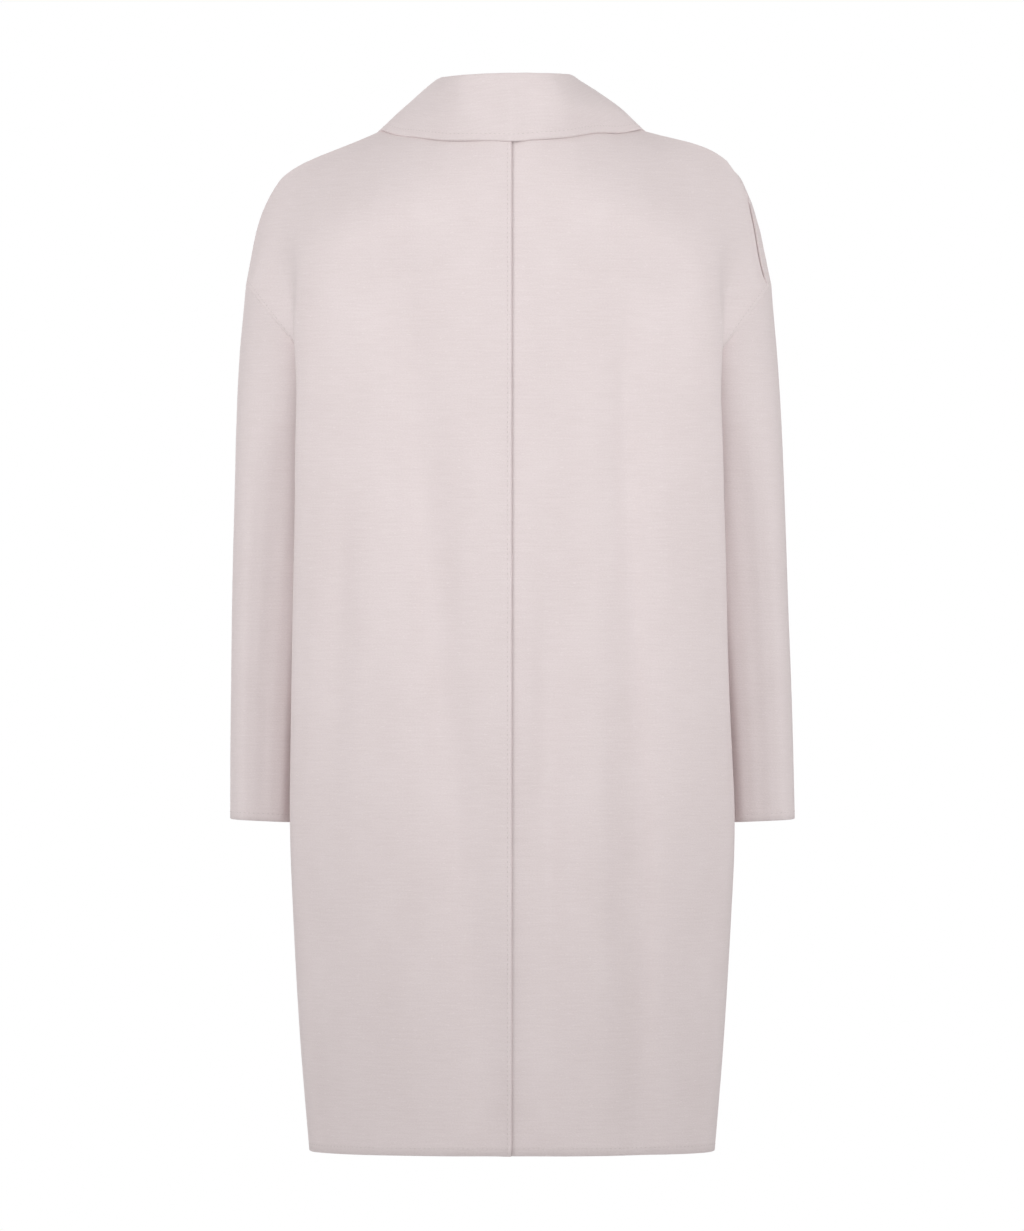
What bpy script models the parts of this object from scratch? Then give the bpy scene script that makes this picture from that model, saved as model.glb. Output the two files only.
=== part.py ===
"""Double-breasted coat of double-faced wool, in its hollow worn form.

Metres, +Z up. The front of the coat faces -Y and the wearer's left is +X.
The origin is the middle of the neck, level with the shoulders that carry the coat.
Each cut piece is a wall of cloth laid through a grid of points. The grids come from
curves through the short tables below, and neighbouring pieces share their seam points.
"""

import math

import bmesh
import bpy
import numpy as np
from mathutils import Vector

# Cloth and seams
CLOTH = 0.002
SEAM_GAP = 0.0003
LAP_WIDTH = 0.004
LAP_RAMP = 0.005
REST_GAP = 0.0006

# How many spans each stretch of a pattern edge has
NECK_SPANS = 6
SHOULDER_SPANS = 14
ARMHOLE_SPANS = 10
SIDE_SPANS = 15
SLEEVE_SPANS = 14
BACK_UNDER_SPANS = 6
FRONT_UNDER_SPANS = 5
LAPEL_SPANS = 7
LEAF_SPANS = 6
COLLAR_FRONT_SPANS = 3
LAPEL_TOP = 3.10
BREAK_ROW = 12

# Seam points on the wearer's left; the right ones are mirrored
NAPE = (0.0, 0.078, 0.022)
NECK_POINT = (0.088, 0.000, 0.024)
SHOULDER_TIP = {"left": (0.2545, -0.012, -0.140), "right": (0.2480, -0.012, -0.140)}
UNDERARM = (0.1550, -0.012, -0.262)
ARMHOLE_HALF_DEPTH = 0.074

# Double-breasted front
OVERLAP = 0.090
OVERLAP_LIFT = 0.0062
LIFT_FADE = (0.100, 0.165)
BUTTON_RADIUS = 0.0135
BUTTON_HEIGHT = 0.0046
BUTTON_STANCE = 0.068
BUTTON_LEVELS = (-0.405, -0.535)

# Shoulder seam from the neck to the armhole: the outlines of the two shoulders differ a little
SHOULDER_COLUMNS = ("x_left", "x_right", "y", "z_left", "z_right")
SHOULDER_ROWS = (
    (0.0880, 0.0880, 0.000, 0.0240, 0.0240),
    (0.1220, 0.1220, 0.000, 0.0080, 0.0078),
    (0.1500, 0.1500, -0.002, -0.0040, 0.0006),
    (0.1800, 0.1810, -0.005, -0.0158, -0.0078),
    (0.2040, 0.2035, -0.008, -0.0265, -0.0200),
    (0.2235, 0.2205, -0.010, -0.0425, -0.0415),
    (0.2420, 0.2350, -0.011, -0.0800, -0.0800),
    (0.2545, 0.2480, -0.012, -0.1400, -0.1400),
)

# Back sections. arm is the angle round the armhole where the section ends, from the shoulder tip (0)
# to the underarm (180); below the underarm a section ends on the side seam instead.
BACK_COLUMNS = ("arm", "centre_y", "centre_z", "fold_x", "fold_y", "fold_z", "turn", "arrive")
BACK_ROWS = (
    (45, 0.112, -0.052, 0.2020, 0.072, -0.112, 0.014, 62),
    (90, 0.124, -0.125, 0.2010, 0.084, -0.188, 0.012, 20),
    (135, 0.129, -0.200, 0.2000, 0.086, -0.236, 0.008, 6),
    (180, 0.131, -0.270, 0.2005, 0.084, -0.268, 0.010, 0),
)
BACK_START = (0.0, 0.016, -0.006)
FRONT_START = (0.0, -0.020, -0.006)

# Whole sections below the underarm, at one level each
BODY_COLUMNS = (
    "level", "back_y", "back_fold_x", "back_fold_y", "seam_x", "seam_y",
    "front_fold_x", "front_fold_y", "front_y", "turn",
)
BODY_ROWS = (
    (-0.345, 0.133, 0.2020, 0.080, 0.1635, -0.013, 0.1960, -0.113, -0.147, 0.012),
    (-0.450, 0.136, 0.2050, 0.073, 0.1790, -0.014, 0.1980, -0.113, -0.151, 0.014),
    (-0.560, 0.138, 0.2085, 0.062, 0.1905, -0.015, 0.2030, -0.107, -0.153, 0.018),
    (-0.650, 0.137, 0.2110, 0.052, 0.1975, -0.015, 0.2070, -0.097, -0.153, 0.020),
    (-0.750, 0.134, 0.2075, 0.034, 0.2065, -0.010, 0.2072, -0.062, -0.150, 0.018),
    (-0.870, 0.128, 0.2008, 0.026, 0.2002, -0.006, 0.2006, -0.044, -0.144, 0.014),
    (-0.966, 0.120, 0.1930, 0.022, 0.1925, -0.002, 0.1928, -0.036, -0.137, 0.012),
)
SECTION_FULL = 0.65
SECTION_RISE = 0.48
FOLD_OUT = {"left": 0.0075, "right": -0.0020}
FOLD_OUT_END = 0.65
NECK_EASE_ROWS = 4

# Front sections above those levels: where each leaves the neck edge or roll line, and its side fold
FRONT_COLUMNS = ("arm", "start_x", "start_y", "start_z", "fold_x", "fold_y", "fold_z", "turn", "arrive")
FRONT_ROWS = (
    (45, 0.0800, -0.0640, -0.0150, 0.1940, -0.0780, -0.1120, 0.010, 120),
    (90, 0.0390, -0.1140, -0.1000, 0.1985, -0.0980, -0.1850, 0.006, 170),
    (135, -0.0040, -0.1370, -0.1900, 0.1985, -0.1060, -0.2360, 0.008, 156),
    (180, -0.0450, -0.1435, -0.2720, 0.1965, -0.1100, -0.2680, 0.010, 178),
)
BREAK_LEVEL = -0.372

# Sleeve rings, from the armhole to the cuff: outer and inner points, middle and half depth
SLEEVE_COLUMNS = ("outer_left", "outer_right", "outer_z", "inner_x", "inner_z", "middle_y", "half_depth")
SLEEVE_SQUARE = 0.9
SLEEVE_ROWS = (
    (0.2545, 0.2480, -0.140, 0.1550, -0.262, -0.012, 0.074),
    (0.2625, 0.2550, -0.240, 0.1720, -0.343, -0.017, 0.070),
    (0.2655, 0.2600, -0.345, 0.1860, -0.428, -0.022, 0.069),
    (0.2680, 0.2645, -0.452, 0.1955, -0.512, -0.026, 0.068),
    (0.2695, 0.2685, -0.556, 0.2020, -0.586, -0.029, 0.067),
    (0.2700, 0.2710, -0.650, 0.2060, -0.653, -0.031, 0.066),
)

# Collar: the fold at its top and the free edge of its leaf, from the nape (0) to the front end (1)
COLLAR_COLUMNS = ("place", "fold_x", "fold_y", "fold_z", "leaf_x", "leaf_y", "leaf_z")
COLLAR_ROWS = (
    (0.00, 0.0000, 0.0720, 0.0565, 0.0000, 0.1020, -0.0050),
    (0.22, 0.0390, 0.0640, 0.0560, 0.0630, 0.0818, -0.0032),
    (0.44, 0.0570, 0.0300, 0.0550, 0.1045, 0.0310, 0.0022),
    (0.60, 0.0625, -0.0010, 0.0495, 0.1255, 0.0000, 0.0096),
    (0.78, 0.0690, -0.0330, 0.0290, 0.1372, -0.0362, -0.0065),
    (1.00, 0.0745, -0.0825, -0.0215, 0.1462, -0.0800, -0.0510),
)
COLLAR_LEAN = (0.0060, -0.020)
FOLD_RADIUS = 0.0045
FOLD_SPANS = 4
STAND_SPANS = 3
LEAF_CROWN = 0.002

# Lapel width along its roll line, from the collar (0) to the break (1)
LAPEL_COLUMNS = ("place", "width")
LAPEL_ROWS = (
    (0.00, 0.092),
    (0.20, 0.089),
    (0.45, 0.078),
    (0.75, 0.050),
    (1.00, 0.012),
)

# Long soft folds of the back, as troughs that run from a high to a low point
TROUGH_COLUMNS = ("top_x", "top_z", "low_x", "low_z", "half_width", "depth")
BACK_TROUGHS = (
    (0.104, -0.150, 0.020, -0.960, 0.024, 0.0060),
    (-0.106, -0.140, -0.120, -0.880, 0.020, 0.0050),
    (-0.040, -0.380, -0.022, -0.969, 0.020, 0.0050),
    (0.158, -0.360, 0.176, -0.640, 0.014, 0.0035),
)
FRONT_TROUGHS = (
    (0.150, -0.240, 0.128, -0.940, 0.022, 0.0050),
    (-0.140, -0.260, -0.116, -0.930, 0.024, 0.0055),
    (-0.020, -0.620, -0.044, -0.969, 0.022, 0.0040),
)

WOOL_COLOUR = (0.745, 0.680, 0.668, 1.0)
BUTTON_COLOUR = (0.640, 0.560, 0.545, 1.0)
SIDES = {"left": 1, "right": -1}


def column(rows, names, name):
    """One named column of a table."""
    return np.array([row[names.index(name)] for row in rows], float)


def named(rows, names):
    """A table's rows, each with its values by column name."""
    return [dict(zip(names, row)) for row in rows]


def through(knots, values, at, start_slope=None):
    """A smooth curve through values at knots, read at some places: cubic pieces with chordal slopes."""
    knots = np.asarray(knots, float)
    values = np.asarray(values, float)
    at = np.asarray(at, float)
    shape = (-1,) + (1,) * (values.ndim - 1)
    spans = np.diff(knots).reshape(shape)
    chords = np.diff(values, axis=0) / spans
    slopes = np.concatenate([chords[:1], chords, chords[-1:]])
    slopes = (slopes[:-1] + slopes[1:]) / 2
    if start_slope is not None:
        slopes[0] = start_slope
    index = np.clip(np.searchsorted(knots, at, side="right") - 1, 0, len(knots) - 2)
    t = ((at - knots[index]) / np.diff(knots)[index]).reshape(shape)
    low, high = values[index], values[index + 1]
    step = spans[index]
    return (
        low * (2 * t**3 - 3 * t**2 + 1)
        + slopes[index] * step * (t**3 - 2 * t**2 + t)
        + high * (3 * t**2 - 2 * t**3)
        + slopes[index + 1] * step * (t**3 - t**2)
    )


def bezier(points, count=24):
    """Points along a cubic curve with four control points."""
    t = np.linspace(0, 1, count)[:, None]
    a, b, c, d = (np.asarray(p, float) for p in points)
    return a * (1 - t) ** 3 + 3 * b * t * (1 - t) ** 2 + 3 * c * t**2 * (1 - t) + d * t**3


def spaced(points, places):
    """Points at shares of a line's own length."""
    along = np.concatenate([[0], np.cumsum(np.linalg.norm(np.diff(points, axis=0), axis=1))])
    at = np.asarray(places) * along[-1]
    return np.stack([np.interp(at, along, points[:, k]) for k in range(3)], axis=1)


def smooth_step(x, low, high):
    t = np.clip((x - low) / (high - low), 0, 1)
    return t * t * (3 - 2 * t)


def armhole_point(side, angle_deg, front=False):
    """A point of the armhole seam, from the shoulder tip (0) round to the underarm (180)."""
    tip, low = np.array(SHOULDER_TIP[side]), np.array(UNDERARM)
    angle = math.radians(angle_deg)
    depth = -ARMHOLE_HALF_DEPTH if front else ARMHOLE_HALF_DEPTH
    across = np.array((0.0, depth, 0.0))
    return (tip + low) / 2 + (tip - low) / 2 * math.cos(angle) + across * math.sin(angle)


def shoulder_seam(side):
    x = column(SHOULDER_ROWS, SHOULDER_COLUMNS, "x_" + side)
    y = column(SHOULDER_ROWS, SHOULDER_COLUMNS, "y")
    z = column(SHOULDER_ROWS, SHOULDER_COLUMNS, "z_" + side)
    points = np.stack([x, y, z], axis=1)
    fine = through(np.arange(len(points)), points, np.linspace(0, len(points) - 1, 80))
    return spaced(fine, np.linspace(0, 1, SHOULDER_SPANS + 1))


def neck_seam():
    """The back neck edge from the nape to the neck point, a quarter of an oval."""
    nape, side = np.array(NAPE), np.array(NECK_POINT)
    angles = np.linspace(0, math.pi / 2, NECK_SPANS + 1)[:, None]
    return side * np.sin(angles) + nape * np.cos(angles) * (1, 1, 0) + (0, 0, 1) * (
        nape * (1 - np.sin(angles))
    )


def heading(degrees):
    """A direction in plan, from -Y round to +X."""
    return np.array((math.sin(math.radians(degrees)), -math.cos(math.radians(degrees)), 0.0))


def section(centre, fold, turn, edge, arrive):
    """A cubic curve from a centre line to the side fold, and one from the fold to a seam."""
    centre, fold, edge = (np.asarray(p, float) for p in (centre, fold, edge))
    reach = (fold - centre) * (SECTION_FULL, 0.0, 0.0)
    rise = (centre - fold) * (0.0, SECTION_RISE, 0.0)
    broad = bezier((centre, centre + reach, fold + rise, fold))
    gap = np.linalg.norm(edge - fold)
    first = np.array((0.0, math.copysign(min(turn, gap * 0.5), edge[1] - fold[1]), 0.0))
    under = bezier((fold, fold + first, edge - heading(arrive) * gap * 0.62, edge))
    return broad, under


def laid(broad, under, spans, under_spans):
    """Points along both curves of a section, with the fold always at the same one."""
    first = spaced(broad, np.linspace(0, 1, spans - under_spans + 1))
    return np.concatenate([first, spaced(under, np.linspace(0, 1, under_spans + 1))[1:]])


def past_centre(line, start_x):
    """Carries a section over the centre front, as a mirror of its own first stretch."""
    if start_x >= 0:
        return line
    count = np.searchsorted(line[:12, 0], -start_x)
    tip = np.array([np.interp(-start_x, line[:, 0], line[:, k]) for k in range(3)])
    other = np.concatenate([line[1:count], tip[None]])[::-1]
    return np.concatenate([other * (-1, 1, 1), line])


def seam_rows():
    """The row numbers of the tables' sections, on the panels' common count of rows."""
    arm = column(BACK_ROWS, BACK_COLUMNS, "arm") / 180 * ARMHOLE_SPANS
    level = column(BODY_ROWS, BODY_COLUMNS, "level")
    low, high = UNDERARM[2], level[-1]
    side = ARMHOLE_SPANS + (level - low) / (high - low) * SIDE_SPANS
    return np.concatenate([[0], arm, side])


def outer_edge(side, front):
    """A panel's seam: round the armhole from its tip to the underarm, then down the side to the hem."""
    angles = np.linspace(0, 180, ARMHOLE_SPANS + 1)
    arm = np.array([armhole_point(side, a, front) for a in angles])
    names = BODY_COLUMNS
    lower = np.stack([column(BODY_ROWS, names, name) for name in ("seam_x", "seam_y", "level")], axis=1)
    knots = seam_rows()[len(BACK_ROWS) :]
    rows = ARMHOLE_SPANS + np.arange(1, SIDE_SPANS + 1)
    return np.concatenate([arm, through(knots, np.vstack([UNDERARM, lower]), rows)])


def finish_edges(grid, top, edge):
    """Ends a panel exactly on its outer seam and its top seam."""
    weight = smooth_step(np.linspace(0, 1, grid.shape[1]), 0.45, 1.0)[None, :, None]
    grid += (edge - grid[:, -1])[:, None, :] * weight
    grid[0] = top


def trough_depth(points, side_sign, troughs):
    """How far the soft folds push the cloth inwards at each point."""
    x, z = points[..., 0] * side_sign, points[..., 2]
    depth = np.zeros(x.shape)
    for row in named(troughs, TROUGH_COLUMNS):
        share = np.clip((z - row["top_z"]) / (row["low_z"] - row["top_z"]), -0.2, 1.2)
        middle = row["top_x"] + (row["low_x"] - row["top_x"]) * share
        fade = smooth_step(share, -0.12, 0.30) * (1 - 0.5 * smooth_step(share, 0.75, 1.2))
        depth += row["depth"] * fade * np.exp(-(((x - middle) / row["half_width"]) ** 2))
    return depth


def side_fold(side, x, y, z):
    """A point of the back's side fold: the two folds hang a little unevenly above the hips."""
    return x + FOLD_OUT[side] * max(0.0, 1 + z / FOLD_OUT_END), y, z


def back_grid(side):
    """Back panel: columns from the centre back to the armhole and side seam, rows from neck to hem."""
    spans = NECK_SPANS + SHOULDER_SPANS
    top = np.concatenate([neck_seam(), shoulder_seam(side)[1:]])
    rows = [top]
    for row in named(BACK_ROWS, BACK_COLUMNS):
        centre = (0, row["centre_y"], row["centre_z"])
        fold = side_fold(side, row["fold_x"], row["fold_y"], row["fold_z"])
        curves = section(centre, fold, row["turn"], armhole_point(side, row["arm"]), row["arrive"])
        rows.append(laid(*curves, spans, BACK_UNDER_SPANS))
    for row in named(BODY_ROWS, BODY_COLUMNS):
        level = row["level"]
        fold = side_fold(side, row["back_fold_x"], row["back_fold_y"], level)
        edge = (row["seam_x"], row["seam_y"], level)
        curves = section((0, row["back_y"], level), fold, row["turn"], edge, 0)
        rows.append(laid(*curves, spans, BACK_UNDER_SPANS))
    grid = through(seam_rows(), np.array(rows), np.arange(ARMHOLE_SPANS + SIDE_SPANS + 1), BACK_START)
    finish_edges(grid, top, outer_edge(side, front=False))
    ease_neck(grid)
    inward = trough_depth(grid, SIDES[side], BACK_TROUGHS)
    grid[..., 1] -= inward * smooth_step(grid[..., 1], 0.03, 0.08)
    return grid


def ease_neck(grid):
    """Spreads the bend below the neck point over the columns beside it."""
    for row in range(1, NECK_EASE_ROWS + 1):
        for _ in range(NECK_EASE_ROWS + 1 - row):
            line = grid[row]
            line[2:-4] = (line[1:-5] + 2 * line[2:-4] + line[3:-3]) / 4


def front_grid(side):
    """Front panel: columns from the front edge or roll line to the armhole and side seam."""
    top = shoulder_seam(side)
    rows = [top]
    for row in named(FRONT_ROWS, FRONT_COLUMNS):
        centre = (max(row["start_x"], 0), row["start_y"], row["start_z"])
        fold = (row["fold_x"], row["fold_y"], row["fold_z"])
        edge = armhole_point(side, row["arm"], front=True)
        broad, under = section(centre, fold, row["turn"], edge, row["arrive"])
        rows.append(laid(past_centre(broad, row["start_x"]), under, SHOULDER_SPANS, FRONT_UNDER_SPANS))
    for row in named(BODY_ROWS, BODY_COLUMNS):
        level = row["level"]
        roll = smooth_step(level, BREAK_LEVEL, BREAK_LEVEL + 0.12)
        fold = (row["front_fold_x"], row["front_fold_y"], level)
        edge = (row["seam_x"], row["seam_y"], level)
        broad, under = section((0, row["front_y"], level), fold, row["turn"], edge, 180)
        broad = past_centre(broad, 0.035 * roll - OVERLAP)
        rows.append(laid(broad, under, SHOULDER_SPANS, FRONT_UNDER_SPANS))
    grid = through(seam_rows(), np.array(rows), np.arange(ARMHOLE_SPANS + SIDE_SPANS + 1), FRONT_START)
    finish_edges(grid, top, outer_edge(side, front=True))
    inward = trough_depth(grid, SIDES[side], FRONT_TROUGHS)
    grid[..., 1] += inward * (1 - smooth_step(grid[..., 1], -0.10, -0.05))
    if side == "right":
        over = 1 - smooth_step(grid[..., 0], *LIFT_FADE)
        below = smooth_step(-grid[..., 2], 0.02, 0.10)
        grid[..., 1] -= OVERLAP_LIFT * over * below
    return grid


def sleeve_grid(side):
    """Sleeve: rings from the armhole to the cuff, each from the shoulder tip round the back."""
    names, rows = SLEEVE_COLUMNS, SLEEVE_ROWS
    at = np.linspace(0, len(rows) - 1, SLEEVE_SPANS + 1)

    def read(name):
        return through(np.arange(len(rows)), column(rows, names, name), at)

    outer_x, outer_z = read("outer_" + side), read("outer_z")
    inner_x, inner_z = read("inner_x"), read("inner_z")
    middle_y, half_depth = read("middle_y"), read("half_depth")
    angles = np.linspace(0, 2 * math.pi, 2 * ARMHOLE_SPANS + 1)[None, :]
    power = 2 + SLEEVE_SQUARE * smooth_step(at / at[-1], 0.1, 0.5)[:, None]
    away = (np.abs(np.cos(angles)) ** power + np.abs(np.sin(angles)) ** power) ** (-1 / power)

    def ring(outer, inner):
        middle, half = (outer + inner) / 2, (outer - inner) / 2
        return middle[:, None] + half[:, None] * np.cos(angles) * away

    y = middle_y[:, None] + half_depth[:, None] * np.sin(angles) * away
    return np.stack([ring(outer_x, inner_x), y, ring(outer_z, inner_z)], axis=2)


def grid_normals(grid, ring=False):
    """Outward unit directions at a grid's points, from the points on either side."""
    down = np.gradient(grid, axis=0)
    if ring:
        around = np.concatenate([grid[:, -2:-1], grid, grid[:, 1:2]], axis=1)
        across = (around[:, 2:] - around[:, :-2]) / 2
    else:
        across = np.gradient(grid, axis=1)
    normals = np.cross(down, across)
    return normals / np.linalg.norm(normals, axis=2, keepdims=True)


def share_seam(first, second):
    """Gives two panels one direction along a seam, where they don't fold sharply there."""
    together = (first * second).sum(axis=-1, keepdims=True) > 0.2
    middle = first + second
    middle /= np.maximum(np.linalg.norm(middle, axis=-1, keepdims=True), 1e-9)
    first[...] = np.where(together, middle, first)
    second[...] = np.where(together, middle, second)


def inset(grid, edges):
    """Draws named edges of a grid in by half the seam gap."""
    half = SEAM_GAP / 2
    steps = {"top": (0, 1, 0), "low": (-1, -2, 0), "start": (0, 1, 1), "end": (-1, -2, 1)}
    moved = grid.copy()
    for name in edges:
        edge, inner, axis = steps[name]
        way = np.take(grid, inner, axis) - np.take(grid, edge, axis)
        way *= half / np.linalg.norm(way, axis=-1, keepdims=True)
        target = moved[edge] if axis == 0 else moved[:, edge]
        target += way
    return moved


def sheet(bm, points):
    """A grid of faces laid through rows of points."""
    rows, columns = points.shape[:2]
    made = bmesh.ops.create_grid(bm, x_segments=columns - 1, y_segments=rows - 1, size=1)["verts"]
    for vertex, point in zip(made, points.reshape(-1, 3)):
        vertex.co = Vector(point)
    return made


def border(rows, columns):
    """The places of a grid's outer points, in order round it."""
    top = [(0, c) for c in range(columns)]
    end = [(r, columns - 1) for r in range(1, rows)]
    low = [(rows - 1, c) for c in range(columns - 2, -1, -1)]
    start = [(r, 0) for r in range(rows - 2, 0, -1)]
    return top + end + low + start


def rim(bm, first, second):
    """Closes the edge between the two faces of a wall, all round a loop of places."""
    for i in range(len(first)):
        bm.faces.new((first[i - 1], first[i], second[i], second[i - 1]))


def wall(name, outer, inner, material, ring=False):
    """One named piece of cloth between an outer and an inner grid of points."""
    bm = bmesh.new()
    rows, columns = outer.shape[:2]
    out, back = sheet(bm, outer), sheet(bm, inner)
    loops = [border(rows, columns)]
    if ring:
        loops = [[(r, c) for c in range(columns - 1)] for r in (0, rows - 1)]
    for loop in loops:
        places = [r * columns + c for r, c in loop]
        rim(bm, [out[p] for p in places], [back[p] for p in places])
    if ring:
        bmesh.ops.remove_doubles(bm, verts=bm.verts, dist=1e-6)
    bmesh.ops.recalc_face_normals(bm, faces=bm.faces)
    mesh = bpy.data.meshes.new(name)
    bm.to_mesh(mesh)
    bm.free()
    mesh.shade_smooth()
    mesh.set_sharp_from_angle(angle=math.radians(50))
    return add_object(name, mesh, material)


def add_object(name, mesh, material):
    obj = bpy.data.objects.new(name, mesh)
    mesh.materials.append(material)
    COAT.objects.link(obj)
    return obj


def mirrored(grid, side):
    return grid * np.array((SIDES[side], 1, 1))


def lapped_left_back(grid, normals):
    """The left back's centre edge, carried over the right back as a stitched lap."""
    over = np.array((-LAP_WIDTH / 2, LAP_WIDTH / 2, LAP_WIDTH / 2 + LAP_RAMP))
    lift = np.array((1.0, 1.0, 0.0)) * (CLOTH + REST_GAP)
    strip = np.repeat(grid[:, :1], 3, axis=1)
    strip[:, :, 0] = over
    strip[:, :, 1] += lift
    strip_normals = np.repeat(normals[:, :1], 3, axis=1)
    lapped = np.concatenate([strip, grid[:, 1:]], axis=1)
    return lapped, np.concatenate([strip_normals, normals[:, 1:]], axis=1)


def lapel_grid(front, front_normals):
    """Lapel: from its roll line, hooked round the front's edge, out over the front's own points."""
    rows = np.array([LAPEL_TOP, *range(math.ceil(LAPEL_TOP), BREAK_ROW + 1)])
    names = LAPEL_COLUMNS
    place = (rows - LAPEL_TOP) / (BREAK_ROW - LAPEL_TOP)
    widths = through(column(LAPEL_ROWS, names, "place"), column(LAPEL_ROWS, names, "width"), place)
    lift = CLOTH + REST_GAP
    points, ways = [], []
    for row, width in zip(rows, widths):
        low = min(int(row), front.shape[0] - 2)
        line = front[low] + (front[low + 1] - front[low]) * (row - low)
        normal = front_normals[low] + (front_normals[low + 1] - front_normals[low]) * (row - low)
        along = np.concatenate([[0], np.cumsum(np.linalg.norm(np.diff(line, axis=0), axis=1))])
        at = np.linspace(0.004, width, LAPEL_SPANS + 1)
        on = np.stack([np.interp(at, along, line[:, k]) for k in range(3)], axis=1)
        up = np.stack([np.interp(at, along, normal[:, k]) for k in range(3)], axis=1)
        up /= np.linalg.norm(up, axis=1, keepdims=True)
        inward = (line[1] - line[0]) / np.linalg.norm(line[1] - line[0])
        side_on = line[0] - inward * (SEAM_GAP + CLOTH)
        hook = [side_on - normal[0] * CLOTH * 0.9, side_on + inward * CLOTH * 0.3 + normal[0] * lift * 0.55]
        points.append(np.concatenate([hook, on + up * lift]))
        ways.append(np.concatenate([[-inward, normal[0] * 0.6 - inward * 0.8], up]))
    ways = np.array(ways)
    return np.array(points), ways / np.linalg.norm(ways, axis=2, keepdims=True)


def collar_section(base, fold, leaf):
    """From the neck seam up the stand, over the fold and down the leaf, seen from its upper face."""
    base, fold, leaf = (np.asarray(p, float) for p in (base, fold, leaf))
    up = fold - base
    height = np.linalg.norm(up)
    up /= height
    fall = leaf - fold
    fall -= up * (fall @ up)
    out = fall / np.linalg.norm(fall)
    radius = min(FOLD_RADIUS, height * 0.45)
    middle = fold - up * radius + out * radius
    turn = np.linspace(math.pi, math.pi * 0.22, FOLD_SPANS + 1)[:, None]
    over = middle + out * np.cos(turn) * radius + up * np.sin(turn) * radius
    stand = base + (over[0] - base) * np.linspace(0, 1, STAND_SPANS + 1)[:-1, None]
    share = np.linspace(0, 1, LEAF_SPANS + 1)[1:, None]
    down = over[-1] + (leaf - over[-1]) * share
    face = np.cross(np.cross(out, up), leaf - over[-1])
    face /= np.linalg.norm(face)
    if face @ (up + out) < 0:
        face = -face
    down += face * LEAF_CROWN * np.sin(share * math.pi)
    points = np.concatenate([stand, over, down])
    ways = -np.cross(np.gradient(points, axis=0), np.cross(out, up))
    return points, ways / np.linalg.norm(ways, axis=1, keepdims=True)


def halved(line):
    """A line with a point added in the middle of each span."""
    places = np.arange(0, len(line) - 0.75, 0.5)
    return np.stack([np.interp(places, np.arange(len(line)), line[:, k]) for k in range(3)], axis=1)


def collar_grid(bases):
    """Collar: one section at each neck seam point of one side, from the nape to the front end."""
    along = np.concatenate([[0], np.cumsum(np.linalg.norm(np.diff(bases, axis=0), axis=1))])
    knots = column(COLLAR_ROWS, COLLAR_COLUMNS, "place")
    table = np.array([row[1:] for row in COLLAR_ROWS])
    read = through(knots, table, along / along[-1])
    made = [collar_section(base, row[:3], row[3:]) for base, row in zip(bases, read)]
    return np.array([points for points, _ in made]), np.array([ways for _, ways in made])


def leaned(points):
    """The collar's top, set a little askew towards the wearer's left, above the neck seam."""
    share = smooth_step(points[..., 2], 0.027, 0.056)
    shift = np.zeros(points.shape)
    shift[..., 0] = COLLAR_LEAN[0] * share
    shift[..., 2] = COLLAR_LEAN[1] * points[..., 0] * share
    return points + shift


def material_of(name, colour, roughness):
    material = bpy.data.materials.new(name)
    material.use_nodes = True
    shader = material.node_tree.nodes["Principled BSDF"]
    shader.inputs["Base Color"].default_value = colour
    shader.inputs["Roughness"].default_value = roughness
    shader.inputs["Metallic"].default_value = 0.0
    material.diffuse_color = colour
    return material


def clear_scene():
    for obj in list(bpy.data.objects):
        bpy.data.objects.remove(obj, do_unlink=True)


def button(name, seat, normal, material):
    """A turned button with a raised rim, seated on the cloth and facing along its normal."""
    radius, height = BUTTON_RADIUS, BUTTON_HEIGHT
    profile = (
        (0.0, height * 0.62),
        (radius * 0.62, height * 0.62),
        (radius * 0.74, height * 0.98),
        (radius * 0.88, height),
        (radius, height * 0.66),
        (radius * 0.96, height * 0.28),
        (radius * 0.72, 0.0),
        (0.0, 0.0),
    )
    bm = bmesh.new()
    line = [bm.verts.new((r, 0, z)) for r, z in profile]
    for a, b in zip(line, line[1:]):
        bm.edges.new((a, b))
    mesh = bpy.data.meshes.new(name)
    bm.to_mesh(mesh)
    bm.free()
    obj = add_object(name, mesh, material)
    turned = obj.modifiers.new("turned", "SCREW")
    turned.steps = turned.render_steps = 24
    turned.use_merge_vertices = True
    turned.merge_threshold = 0.00005
    turned.use_smooth_shade = True
    obj.location = Vector(seat) + Vector(normal) * REST_GAP
    obj.rotation_mode = "QUATERNION"
    obj.rotation_quaternion = Vector((0, 0, 1)).rotation_difference(Vector(normal))
    return obj


def surface_at(grid, normals, x, z):
    """The grid point and direction nearest to a place seen from the front, between its rows and columns."""
    fine_rows = np.linspace(0, grid.shape[0] - 1, 400)
    fine = through(np.arange(grid.shape[0]), grid, fine_rows)
    ways = through(np.arange(grid.shape[0]), normals, fine_rows)
    r = np.argmin(np.abs(fine[:, 3, 2] - z))
    line, way = fine[r], ways[r]
    order = np.argsort(line[:, 0])
    point = np.array([np.interp(x, line[order, 0], line[order, k]) for k in range(3)])
    normal = np.array([np.interp(x, line[order, 0], way[order, k]) for k in range(3)])
    return point, normal / np.linalg.norm(normal)


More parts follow.
